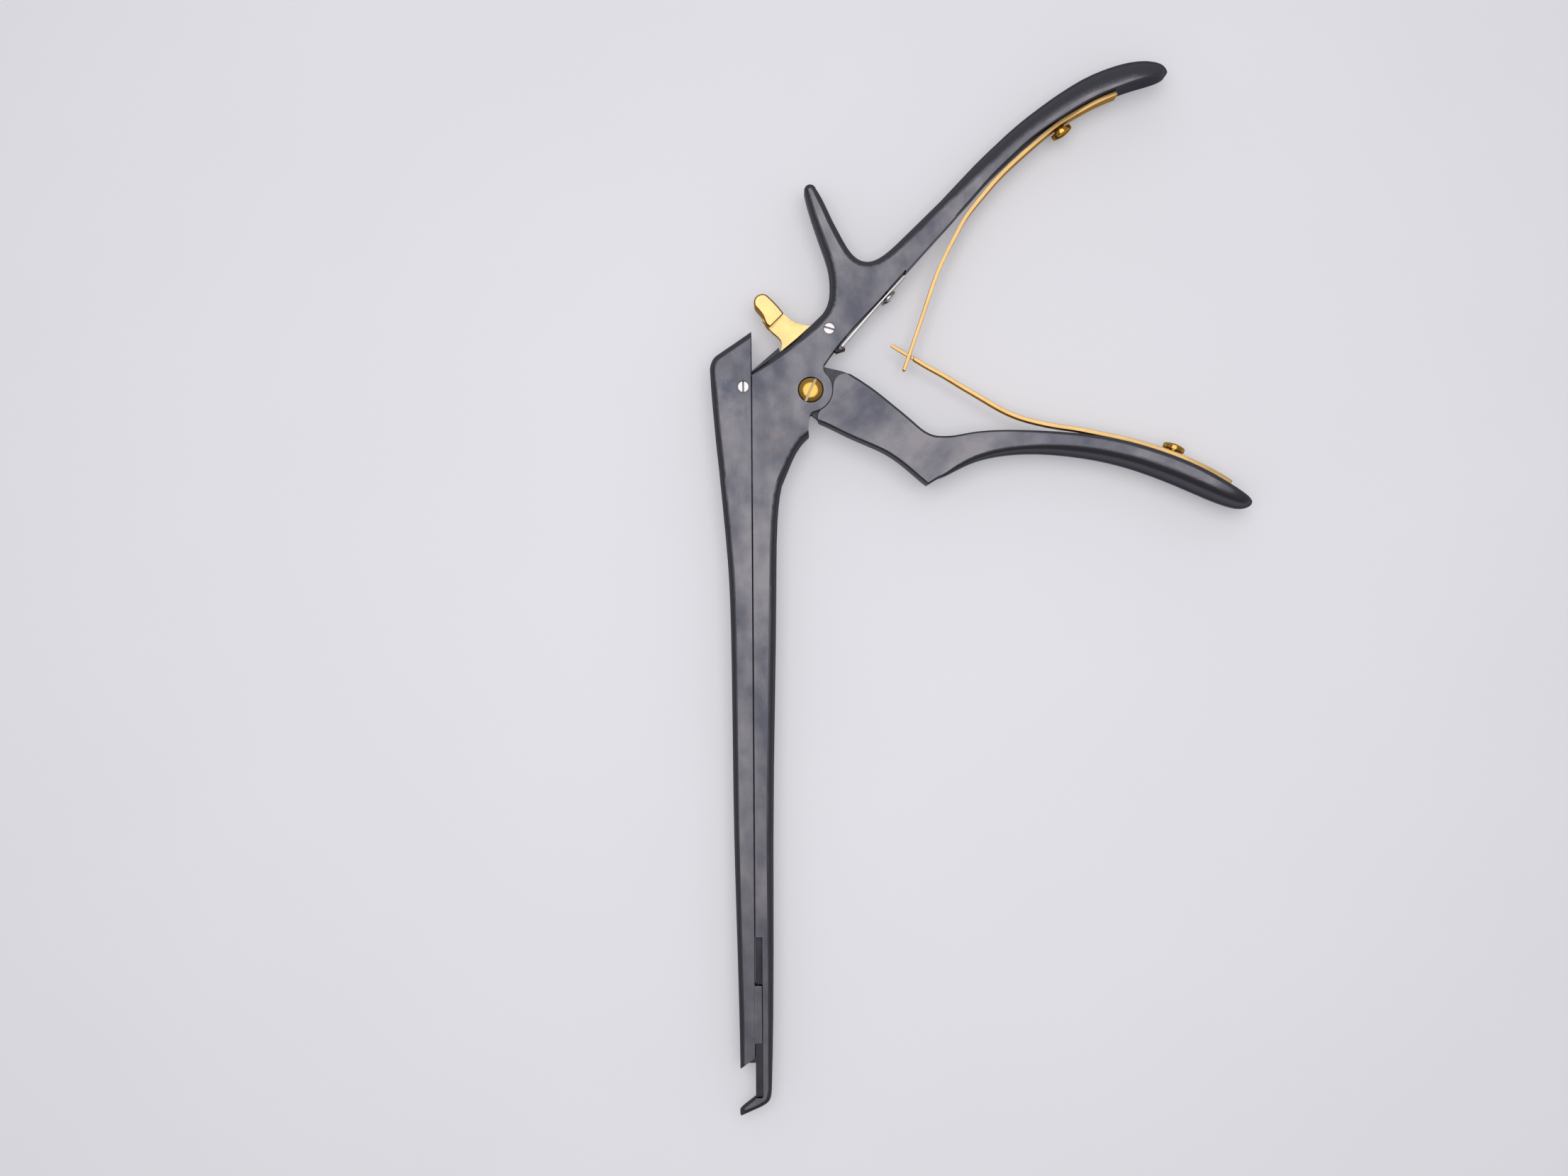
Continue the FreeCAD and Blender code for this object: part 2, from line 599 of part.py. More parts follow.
def front_grip():
    """Front handle, hollowed to the palm and widening across Z to its tip."""
    stations = [
        ((33.5, -12.25), (0.0, -1.0), 11.05, THICK, 0.6, 0.6, 0.6),
        ((36.0, -12.3), (0.07, -0.998), 9.75, THICK, 1.1, 1.1, 0.55),
        ((40.0, -11.75), (0.12, -0.993), 8.2, THICK, 1.5, 1.6, 0.5),
        ((45.5, -11.0), (0.06, -0.998), 7.2, 9.6, 1.75, 2.2, 0.5),
        ((51.0, -10.8), (0.0, -1.0), 6.5, 9.9, 2.0, 3.0, 0.55),
        ((60.0, -11.05), (-0.04, -0.999), 5.9, 10.4, 2.45, 4.0, 0.7),
        ((70.0, -11.8), (-0.10, -0.995), 6.0, 11.0, 3.15, 4.6, 0.95),
        ((80.0, -13.3), (-0.19, -0.982), 6.3, 11.7, 3.35, 5.1, 1.1),
        ((90.0, -16.05), (-0.33, -0.944), 6.5, 12.3, 3.55, 5.5, 1.15),
        ((100.0, -19.9), (-0.42, -0.908), 6.6, 12.8, 3.65, 5.8, 1.2),
        ((107.0, -23.55), (-0.50, -0.866), 6.1, 12.8, 3.55, 5.8, 1.2),
        ((111.3, -26.2), (-0.50, -0.866), 5.2, 12.1, 3.3, 5.4, 1.1),
        ((113.7, -27.75), (-0.45, -0.893), 4.3, 10.5, 2.7, 4.7, 0.95),
        ((115.2, -28.85), (-0.35, -0.937), 3.0, 8.0, 1.9, 3.6, 0.7),
        ((116.0, -29.7), (-0.2, -0.98), 1.3, 5.0, 0.8, 2.3, 0.35),
    ]
    return lofted(inset_start(stations))


def trigger_handle():
    body = trigger_plate().fuse([front_grip(), tongue()]).removeSplitter()
    pivot = round_along_z((0, 0), PIVOT_SHANK_R + RUN_FIT, -1, THICK + 1)
    bore = side_bore(FRONT_SCREW, FRONT_SCREW_DIR, LEAF_SHANK_R + SEAT_FIT, 4.0)
    return body.cut(pivot.fuse(bore))


def thumb_latch():
    """Latch: a tall thumb pad, a body that lies in the slot and a notched tail."""
    body = runs_face((-10.6, 16.2), [
        ("curve", [(-8.6, 14.3), (-7.65, 13.0), (-7.5, 12.0), (-7.72, 10.7)]),
        ("curve", [(-7.3, 10.25), (-6.6, 10.35)]),
        ("curve", [(-2.0, 11.9), (3.0, 12.3), (5.6, 11.0), (6.9, 9.95)]),
        ("line", [(9.2, 10.75), (9.0, 11.55), (8.45, 11.0), (7.7, 10.9), (7.55, 11.6), (8.1, 12.25),
                  (7.75, 14.4)]),
        ("curve", [(8.0, 16.0), (6.6, 18.5), (4.4, 18.9)]),
        ("curve", [(2.2, 18.2), (0.3, 17.15), (-2.0, 17.5), (-4.0, 18.0), (-5.5, 19.0), (-7.0, 20.2)]),
        ("line", [(-10.6, 22.6), (-12.6, 18.6)]),
    ])
    pad = runs_face((-10.75, 16.6), [
        ("line", [(-7.1, 20.2)]),
        ("curve", [(-9.0, 22.55), (-11.2, 24.7)]),
        ("curve", [(-12.9, 25.15), (-14.4, 24.2), (-14.75, 22.7), (-14.4, 21.8)]),
        ("curve", [(-13.6, 20.9), (-12.5, 19.4), (-11.6, 17.3), (-10.75, 16.6)]),
    ])
    thick = mid_slab(pad, THICK)

    def outer(edge, middle):
        low = middle.x + middle.y < 9.7 and middle.x > -10.7
        return on_face_z(middle) and not low and edge.Length > 1.0
    thick = thick.makeFillet(0.5, edges_where(thick, outer))
    solid = mid_slab(body, TONGUE_W).fuse(thick)
    bore = round_along_z(LATCH_PIVOT, SMALL_SHANK_R + RUN_FIT, -1, THICK + 1)
    return solid.removeSplitter().cut(bore)


def leaf_band(line, thick_from, thick_to, width):
    """Band of tapering thickness along a smooth centre line."""
    spline = Part.BSplineCurve()
    spline.interpolate([vec(p) for p in line])
    count = len(line) * 2
    first = spline.FirstParameter
    last = spline.LastParameter
    left = []
    right = []
    for i in range(count + 1):
        part = i / count
        at = first + (last - first) * part
        point = spline.value(at)
        along = spline.tangent(at)[0]
        side = FreeCAD.Vector(-along.y, along.x, 0)
        half = (thick_from + (thick_to - thick_from) * part) / 2
        left.append(point + side * half)
        right.append(point - side * half)
    upper = Part.BSplineCurve()
    upper.interpolate(left)
    lower = Part.BSplineCurve()
    lower.interpolate(right)
    tip = spline.value(last) + spline.tangent(last)[0] * (thick_to * 0.42)
    edges = [
        upper.toShape(),
        Part.Arc(left[-1], tip, right[-1]).toShape(),
        lower.toShape(),
        Part.makeLine(right[0], left[0]),
    ]
    return mid_slab(Part.Face(Part.Wire(Part.__sortEdges__(edges))), width)


def seat_line(points, offset, side):
    """Centre line of a seated leaf: the handle's inner face moved inward."""
    spline = Part.BSplineCurve()
    spline.interpolate([vec(p) for p in points])
    moved = []
    for p in points:
        along = spline.tangent(spline.parameter(vec(p)))[0]
        moved.append((p[0] - along.y * offset * side, p[1] + along.x * offset * side))
    return moved


def rear_leaf():
    offset = LEAF_ROOT_T / 2 + LEAF_SEAT_GAP
    seat = seat_line([(80.7, 78.37), (75.0, 76.0), (70.0, 73.3), (65.0, 70.2)], offset, 1)
    free = [(60.4, 65.65), (55.2, 61.1), (50.2, 56.35), (45.2, 50.65), (41.05, 45.3), (38.25, 40.3),
            (35.65, 35.3), (33.4, 30.3), (31.55, 25.2), (29.9, 20.2), (28.15, 15.2), (26.4, 10.2), (24.8, 5.6)]
    leaf = leaf_band(seat + free, LEAF_ROOT_T, LEAF_TIP_T, LEAF_W)
    window = box((20.0, 34.0), (6.75, 12.3), WINDOW_W)
    bore = side_bore((REAR_SCREW[0] + 6 * REAR_SCREW_DIR[0], REAR_SCREW[1] + 6 * REAR_SCREW_DIR[1]),
                     REAR_SCREW_DIR, LEAF_SHANK_R + SEAT_FIT, 8.0)
    return leaf.cut(window.fuse(bore))


def front_leaf():
    offset = LEAF_ROOT_T / 2 + LEAF_SEAT_GAP
    seat = seat_line([(110.0, -25.47), (107.0, -23.55), (100.0, -19.9), (90.0, -16.05), (80.0, -13.3)], offset, -1)
    free = [(75.2, -11.55), (70.2, -10.5), (65.2, -9.75), (60.2, -8.75), (55.2, -7.35), (50.2, -5.15),
            (45.2, -2.2), (40.15, 0.8), (35.1, 3.9), (30.1, 6.7), (26.8, 8.75), (25.3, 9.65), (21.65, 11.9)]
    leaf = leaf_band(seat + free, LEAF_ROOT_T, LEAF_TIP_T, LEAF_W)
    spare = (LEAF_W - LEAF_TONGUE_W) / 2
    shoulder = runs_face((26.35, 7.3), [("line", [(28.2, 10.6), (18.0, 16.6), (16.0, 12.0)])])
    near = slab(shoulder, MID_Z + LEAF_TONGUE_W / 2, MID_Z + LEAF_TONGUE_W / 2 + spare + 1)
    far = slab(shoulder, MID_Z - LEAF_TONGUE_W / 2 - spare - 1, MID_Z - LEAF_TONGUE_W / 2)
    bore = side_bore((FRONT_SCREW[0] + 6 * FRONT_SCREW_DIR[0], FRONT_SCREW[1] + 6 * FRONT_SCREW_DIR[1]),
                     FRONT_SCREW_DIR, LEAF_SHANK_R + SEAT_FIT, 8.0)
    return leaf.cut(near.fuse([far, bore]))


def latch_leaf():
    """Thin leaf on the frame's inner edge; its tip lies in the latch's notch."""
    half = LATCH_LEAF_T / 2
    face = runs_face((24.75, 30.35), [
        ("line", [(20.6, 25.88), (17.0, 22.05)]),
        ("curve", [(12.6, 17.05), (7.98, 11.72)]),
        ("line", [(7.98 + 2 * half * 0.76, 11.72 - 2 * half * 0.65)]),
        ("curve", [(12.6 + 2 * half * 0.74, 17.05 - 2 * half * 0.67), (17.0 + 2 * half * 0.73, 22.05 - 2 * half * 0.68)]),
        ("line", [(24.75 + 2 * half * 0.73, 30.35 - 2 * half * 0.68)]),
    ])
    leaf = mid_slab(face, LATCH_LEAF_W)
    start = (LATCH_SCREW[0] + 4 * LATCH_SCREW_DIR[0], LATCH_SCREW[1] + 4 * LATCH_SCREW_DIR[1])
    return leaf.cut(side_bore(start, LATCH_SCREW_DIR, 1.25 + SEAT_FIT, 6.0))


def pivot_screw():
    shank = THICK - PIVOT_SEAT - 1.05
    screw = slotted_screw(PIVOT_HEAD_R, PIVOT_SEAT - 0.25, PIVOT_DOME, PIVOT_SHANK_R, shank, 0.6, 0.3, 65)
    screw.translate(FreeCAD.Vector(0, 0, THICK - PIVOT_SEAT))
    return screw


def small_screw(point, slot_deg):
    shank = THICK - SMALL_SEAT - 1.05
    screw = slotted_screw(SMALL_HEAD_R, SMALL_SEAT - 0.12, SMALL_DOME, SMALL_SHANK_R, shank, 0.5, 0.35, slot_deg)
    screw.translate(vec(point, THICK - SMALL_SEAT))
    return screw


def leaf_screw(point, direction):
    step = LEAF_ROOT_T + LEAF_SEAT_GAP + 0.02
    screw = slotted_screw(LEAF_HEAD_R, 1.0, 0.7, LEAF_SHANK_R, 4.6, 1.0, 0.2, 0)
    return side_screw(screw, (point[0] + direction[0] * step, point[1] + direction[1] * step), direction)


def latch_screw():
    step = LATCH_LEAF_T + 0.1
    screw = slotted_screw(2.5, 0.45, 0.55, 1.25, 3.4, 0.7, 0.1, 0)
    spot = (LATCH_SCREW[0] + LATCH_SCREW_DIR[0] * step, LATCH_SCREW[1] + LATCH_SCREW_DIR[1] * step)
    return side_screw(screw, spot, LATCH_SCREW_DIR)


def main():
    nodes = {
        "fixed_frame": fixed_frame(),
        "ejector": ejector(),
        "sliding_shaft": sliding_shaft(),
        "trigger_handle": trigger_handle(),
        "pivot_screw": pivot_screw(),
        "slider_pin_screw": small_screw(SLIDER_PIN, 90),
        "thumb_latch": thumb_latch(),
        "latch_pivot_screw": small_screw(LATCH_PIVOT, -17),
        "latch_leaf_spring": latch_leaf(),
        "latch_spring_screw": latch_screw(),
        "rear_leaf_spring": rear_leaf(),
        "rear_spring_screw": leaf_screw(REAR_SCREW, REAR_SCREW_DIR),
        "front_leaf_spring": front_leaf(),
        "front_spring_screw": leaf_screw(FRONT_SCREW, FRONT_SCREW_DIR),
    }
    os.makedirs("parts", exist_ok=True)
    for name, shape in nodes.items():
        shape.exportStep("parts/" + name + ".step")


main()
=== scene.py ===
from collections import namedtuple
from math import asin, cos, pi, radians, sin

import bmesh
import bpy
from bpy.props import FloatProperty, FloatVectorProperty, IntProperty, PointerProperty
from mathutils import Matrix, Vector
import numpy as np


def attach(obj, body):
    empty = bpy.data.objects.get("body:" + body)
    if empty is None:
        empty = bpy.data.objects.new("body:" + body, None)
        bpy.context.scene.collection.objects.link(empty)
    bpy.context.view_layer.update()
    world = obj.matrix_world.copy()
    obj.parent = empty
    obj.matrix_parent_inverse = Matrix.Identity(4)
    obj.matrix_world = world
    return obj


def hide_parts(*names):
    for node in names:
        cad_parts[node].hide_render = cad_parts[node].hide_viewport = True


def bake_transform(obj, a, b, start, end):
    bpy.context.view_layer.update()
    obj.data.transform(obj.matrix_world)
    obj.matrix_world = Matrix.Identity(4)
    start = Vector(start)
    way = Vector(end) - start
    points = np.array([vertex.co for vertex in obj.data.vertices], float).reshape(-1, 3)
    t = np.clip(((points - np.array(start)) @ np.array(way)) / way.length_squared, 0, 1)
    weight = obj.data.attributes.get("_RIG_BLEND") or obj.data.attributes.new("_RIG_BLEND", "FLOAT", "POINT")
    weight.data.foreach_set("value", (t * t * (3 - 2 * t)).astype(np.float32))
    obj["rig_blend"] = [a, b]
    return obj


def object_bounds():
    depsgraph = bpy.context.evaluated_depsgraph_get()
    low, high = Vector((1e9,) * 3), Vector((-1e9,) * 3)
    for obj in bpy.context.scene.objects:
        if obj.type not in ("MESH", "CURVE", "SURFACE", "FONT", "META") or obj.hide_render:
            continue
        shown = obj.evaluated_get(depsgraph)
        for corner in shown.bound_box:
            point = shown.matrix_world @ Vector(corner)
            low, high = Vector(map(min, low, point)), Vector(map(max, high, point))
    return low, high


bl_info = {
    "name": "Bone Rongeur",
    "version": (1, 0, 0),
    "blender": (4, 5, 0),
    "location": "View3D > Sidebar > Rongeur",
    "description": "Dresses the bone rongeur: coatings, leaf springs, screws and a photo stage",
    "category": "Object",
}

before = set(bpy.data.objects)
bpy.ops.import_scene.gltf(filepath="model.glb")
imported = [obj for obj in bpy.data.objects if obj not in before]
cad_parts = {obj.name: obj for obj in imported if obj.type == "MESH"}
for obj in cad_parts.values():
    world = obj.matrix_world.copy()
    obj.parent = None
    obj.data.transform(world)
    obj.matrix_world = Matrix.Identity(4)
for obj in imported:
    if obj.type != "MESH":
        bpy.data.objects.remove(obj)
FRAME_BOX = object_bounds()

# One millimetre in metres; the tables below give places and sizes in millimetres
MM = 0.001

# Stage: the paper lies just under the object, and the camera looks straight down
FLOOR_DROP = 0.05 * MM
FLOOR_HALF = 4000 * MM
VIEW_CENTRE = Vector((-7.3, -51.9, 0.0)) * MM
VIEW_HEIGHT = 529.5 * MM
VIEW_ROLL = radians(-0.335)
VIEW_LENS = 45.6
VIEW_SENSOR = 36.0

# Places on the solids that the coatings follow
THICK = 9.5
MID_Z = THICK / 2
TIP_WIDTH = 4.6
TAPER_START_Y = -30.0
TAPER_END_Y = -188.0
SEAM_X = -15.5
SEAM_END_Y = -143.6
LATCH_TAIL_X = 5.0

# Stains in the black coat: middle, radius, tint, strength
SLIDER_STAINS = (
    ((-21.5, 0.5, THICK), 4.0, "#434958", 0.55),
    ((-19.5, -4.5, THICK), 3.5, "#4a4f5c", 0.45),
)
FRAME_STAINS = (
    ((-8.6, -11.8, THICK), 2.2, "#6b5a54", 0.5),
    ((-11.3, -13.0, THICK), 1.8, "#6b5a54", 0.4),
    ((-9.4, -16.2, THICK), 1.8, "#6b5a54", 0.4),
)

# Turn of the grinding marks from the Y axis in degrees: along the shaft, slanting across the trigger
SHAFT_GRIND = 4
TRIGGER_GRIND = -50

# Points closer than WELD are joined, faces within FLAT_ANGLE make one flat, edges over SHARP_ANGLE
# are rounded over, and an edge that is still sharper than a crease is shaded as one
WELD = 0.002 * MM
FLAT_ANGLE = radians(0.8)
SHARP_ANGLE = radians(38)
PART_CREASE = radians(32)
SCREW_CREASE = radians(30)

# Leaf springs: where the bend starts and ends; the axis, where the leaf is at full width, where narrow
REAR_BEND = ((69, 71.5, MID_Z), (50, 56.5, MID_Z))
FRONT_BEND = ((80, -13, MID_Z), (60, -8.9, MID_Z))
REAR_NARROWING = (1, 62.0, 12.0)
FRONT_NARROWING = (0, 88.0, 30.0)

# Shoulders beside the front leaf's tongue: their place along the leaf and off its middle, how far
# they go back, which edges are theirs, and how these are rounded
SHOULDER_X = (26.7, 27.6)
SHOULDER_OUT = 0.95
SHOULDER_BACK = (0.17, -0.1, 0.0)
SHOULDER_BACK_MOST = 0.3
SHOULDER_EDGE = 0.8
SHOULDER_ANGLE = radians(60)
SHOULDER_ROUND = 0.42
SHOULDER_STEPS = 4

# Screws, measured from the underside of the head; the slot's depth counts from the dome's foot
Screw = namedtuple("Screw", "head_r head_h dome shank_r shank_l slot_w slot_d")
PIVOT = Screw(3.25, 1.25, 0.8, 2.2, 6.95, 0.7, 0.3)
SMALL = Screw(1.52, 0.78, 0.12, 1.0, 7.55, 0.5, 0.35)
LEAF = Screw(2.9, 1.0, 0.7, 1.5, 4.6, 1.0, 0.2)
LATCH_LEAF = Screw(2.5, 0.45, 0.55, 1.25, 3.4, 0.7, 0.1)
UP = (0.0, 0.0, 1.0)
SCREWS = (
    # node, body, kind, size, underside of the head, way the head looks, turn of the slot
    ("pivot_screw", "frame", "gold", PIVOT, (0.0, 0.0, 8.0), UP, 65),
    ("slider_pin_screw", "slider", "steel", SMALL, (-17.68, 0.88, 8.6), UP, 90),
    ("latch_pivot_screw", "frame", "steel", SMALL, (4.96, 16.06, 8.6), UP, -17),
    ("latch_spring_screw", "frame", "steel", LATCH_LEAF, (20.566, 24.577, MID_Z), (0.737, -0.676, 0.0), 0),
    ("rear_spring_screw", "frame", "gold", LEAF, (66.347, 68.512, MID_Z), (0.566, -0.824, 0.0), 0),
    ("front_spring_screw", "trigger", "gold", LEAF, (95.675, -16.068, MID_Z), (0.36, 0.933, 0.0), 0),
)
# Turning: steps round and up the dome, inset of its rim, share of its height that is ball, weld
TURNS = 72
DOME_STEPS = 10
DOME_INSET = 0.25
DOME_SHARE = 0.65
SCREW_WELD = 0.001
# Milling: length in head radii, height over the dome, margin of the slot's faces, broken edges
MILL_LENGTH = 3
MILL_OVER = 1
SLOT_MARGIN = 0.01
SCREW_BREAK = 0.05
SCREW_BREAK_STEPS = 2


def linear(hex_colour):
    """Linear RGBA of an sRGB colour written as a hex string."""
    values = []
    for at in (1, 3, 5):
        part = int(hex_colour[at:at + 2], 16) / 255
        values.append(part / 12.92 if part <= 0.04045 else ((part + 0.055) / 1.055) ** 2.4)
    return (*values, 1.0)


def node_in(tree, kind, inputs, **settings):
    """Add a node with its settings; inputs gives a socket a value or links it to another node's output."""
    node = tree.nodes.new(kind)
    for name, value in settings.items():
        setattr(node, name, value)
    for socket, value in inputs.items():
        if isinstance(value, bpy.types.NodeSocket):
            tree.links.new(value, node.inputs[socket])
        else:
            node.inputs[socket].default_value = value
    return node


def new_material(name):
    """A material without nodes, and its tree."""
    material = bpy.data.materials.new(name)
    material.use_nodes = True
    material.node_tree.nodes.clear()
    return material, material.node_tree


def shaded(tree, inputs):
    """Close a tree with its shader, which takes these inputs, and the output."""
    shader = node_in(tree, "ShaderNodeBsdfPrincipled", inputs)
    node_in(tree, "ShaderNodeOutputMaterial", {"Surface": shader.outputs["BSDF"]})


def blotches(tree, where, size_mm, detail, stretch=(1, 1, 1), turn_deg=0.0):
    """Noise whose blotches are about size_mm across, drawn out by stretch after a turn about Z."""
    turned = node_in(tree, "ShaderNodeMapping", {"Vector": where, "Rotation": (0, 0, radians(-turn_deg))})
    sized = node_in(tree, "ShaderNodeMapping", {
        "Vector": turned.outputs[0], "Scale": tuple(1 / (size_mm * MM * s) for s in stretch)})
    return node_in(tree, "ShaderNodeTexNoise", {
        "Vector": sized.outputs[0], "Scale": 1.0, "Detail": detail, "Roughness": 0.55}).outputs["Fac"]


def facing_share(tree, place, low, high):
    """1 where the surface faces straight up or down, 0 where it leans away."""
    split = node_in(tree, "ShaderNodeSeparateXYZ", {"Vector": place.outputs["Normal"]})
    upright = node_in(tree, "ShaderNodeMath", {0: split.outputs["Z"]}, operation="ABSOLUTE")
    return node_in(tree, "ShaderNodeMapRange", {
        "Value": upright.outputs[0], "From Min": low, "From Max": high},
        interpolation_type="SMOOTHSTEP").outputs[0]


def stained(tree, where, colour, spot, radius, tint, strength):
    """Colour with a ragged stain of one tint round a spot, in mm."""
    apart = node_in(tree, "ShaderNodeVectorMath", {0: where, 1: Vector(spot) * MM}, operation="DISTANCE")
    near = node_in(tree, "ShaderNodeMapRange", {
        "Value": apart.outputs["Value"], "From Min": radius * MM, "From Max": 0.3 * radius * MM},
        interpolation_type="SMOOTHSTEP")
    ragged = node_in(tree, "ShaderNodeMapRange", {
        "Value": blotches(tree, where, 1.8, 3.0), "From Min": 0.42, "From Max": 0.6, "To Max": strength},
        interpolation_type="SMOOTHSTEP")
    share = node_in(tree, "ShaderNodeMath", {0: near.outputs[0], 1: ragged.outputs[0]}, operation="MULTIPLY")
    return node_in(tree, "ShaderNodeMix", {0: share.outputs[0], 6: colour, 7: linear(tint)},
                   data_type="RGBA").outputs[2]


def painted_seam_shade(tree, split):
    """Share of its colour that a flat keeps under the painted shade line beside the slide's seam, down to the
    window in the rail.
    """
    off = node_in(tree, "ShaderNodeMath", {0: split.outputs["X"], 1: SEAM_X * MM}, operation="SUBTRACT")
    away = node_in(tree, "ShaderNodeMath", {0: off.outputs[0]}, operation="ABSOLUTE")
    kept = node_in(tree, "ShaderNodeMapRange", {
        "Value": away.outputs[0], "From Min": 0.08 * MM, "From Max": 0.3 * MM, "To Min": 0.12},
        interpolation_type="SMOOTHSTEP")
    past = node_in(tree, "ShaderNodeMapRange", {
        "Value": split.outputs["Y"], "From Min": SEAM_END_Y * MM, "From Max": (SEAM_END_Y - 0.2) * MM})
    return node_in(tree, "ShaderNodeMath", {0: kept.outputs[0], 1: past.outputs[0]},
                   operation="MAXIMUM").outputs[0]


def painted_recess_shade(tree, split):
    """Share of its colour that a face keeps under painted shade, by its depth under the ground flats, which
    slope to the tip.
    """
    ground_z = node_in(tree, "ShaderNodeMapRange", {
        "Value": split.outputs["Y"], "From Min": TAPER_END_Y * MM, "From Max": TAPER_START_Y * MM,
        "To Min": (MID_Z + TIP_WIDTH / 2) * MM, "To Max": THICK * MM})
    depth = node_in(tree, "ShaderNodeMath", {0: ground_z.outputs[0], 1: split.outputs["Z"]},
                    operation="SUBTRACT")
    return node_in(tree, "ShaderNodeMapRange", {
        "Value": depth.outputs[0], "From Min": 0.25 * MM, "From Max": 0.5 * MM,
        "To Min": 1.0, "To Max": 0.42}).outputs[0]


def black_coated_steel(name, finish, grind_deg, stains=(), seam=False):
    """Stainless steel, belt-ground on its flats, then given a black vapour-deposited coat."""
    # The flats show soft light and dark patches, bluish where they are dark, over a faint grind.
    # The rounded edges were polished first, so they mirror the dark room as a black line.
    material, tree = new_material(name)
    place = node_in(tree, "ShaderNodeTexCoord", {})
    where = place.outputs["Object"]
    split = node_in(tree, "ShaderNodeSeparateXYZ", {"Vector": where})

    # Long patches from the grinding belt, 12 mm by 30 mm, and clouds in the coat of 5 mm
    patches = blotches(tree, where, 12.0, 2.0, (1, 2.5, 1), grind_deg)
    clouds = blotches(tree, where, 5.0, 4.0, (1, 1.3, 1), grind_deg)
    both = node_in(tree, "ShaderNodeMix", {0: 0.4, 2: patches, 3: clouds})
    cloudy = node_in(tree, "ShaderNodeMapRange", {
        "Value": both.outputs[0], "From Min": 0.36, "From Max": 0.64})
    # Grind lines 0.15 mm apart and 7.5 mm long; the real ones are finer than a picture shows
    grind = blotches(tree, where, 0.15, 2.0, (1, 50, 4), grind_deg)
    lines = node_in(tree, "ShaderNodeMapRange", {
        "Value": grind, "From Min": 0.3, "From Max": 0.7, "To Min": -0.07, "To Max": 0.07})
    tone = node_in(tree, "ShaderNodeMath", {0: cloudy.outputs[0], 1: lines.outputs[0]},
                   operation="ADD", use_clamp=True).outputs[0]
    flat = node_in(tree, "ShaderNodeMix", {0: tone, 6: finish.black_dark, 7: finish.black_light},
                   data_type="RGBA").outputs[2]
    for spot, radius, tint, strength in stains:
        flat = stained(tree, where, flat, spot, radius, tint, strength)
    # Painted shade: faces stepped down from the ground flats, as in the window and round the pivot, are
    # darkened by their depth
    shade = painted_recess_shade(tree, split)
    if seam:
        # Painted shade: the broken edges on both sides of the slide and the gap between them read as one dark
        # line
        shade = node_in(tree, "ShaderNodeMath", {0: shade, 1: painted_seam_shade(tree, split)},
                        operation="MULTIPLY").outputs[0]
    flat = node_in(tree, "ShaderNodeMix", {0: 1.0, 6: flat, 7: shade},
                   data_type="RGBA", blend_type="MULTIPLY").outputs[2]

    on_flat = facing_share(tree, place, 0.985, 0.9995)
    off_wall = facing_share(tree, place, 0.04, 0.2)
    # Upright walls take the darker wall colour, a painted shade
    leaning = node_in(tree, "ShaderNodeMix", {0: off_wall, 6: finish.black_wall_painted_shade, 7: finish.black_round},
                      data_type="RGBA")
    colour = node_in(tree, "ShaderNodeMix", {0: on_flat, 6: leaning.outputs[2], 7: flat}, data_type="RGBA")
    rough_flat = node_in(tree, "ShaderNodeMapRange", {"Value": tone, "To Min": 0.42, "To Max": 0.35})
    rough = node_in(tree, "ShaderNodeMix", {0: on_flat, 2: 0.3, 3: rough_flat.outputs[0]})
    ground = node_in(tree, "ShaderNodeMath", {0: grind, 1: on_flat}, operation="MULTIPLY")
    bump = node_in(tree, "ShaderNodeBump", {
        "Height": ground.outputs[0], "Strength": 0.15, "Distance": 0.01 * MM})
    shaded(tree, {"Base Color": colour.outputs[2], "Metallic": 1.0, "Specular Tint": linear("#a4a4aa"),
                  "Roughness": rough.outputs[0], "Normal": bump.outputs[0]})
    return material


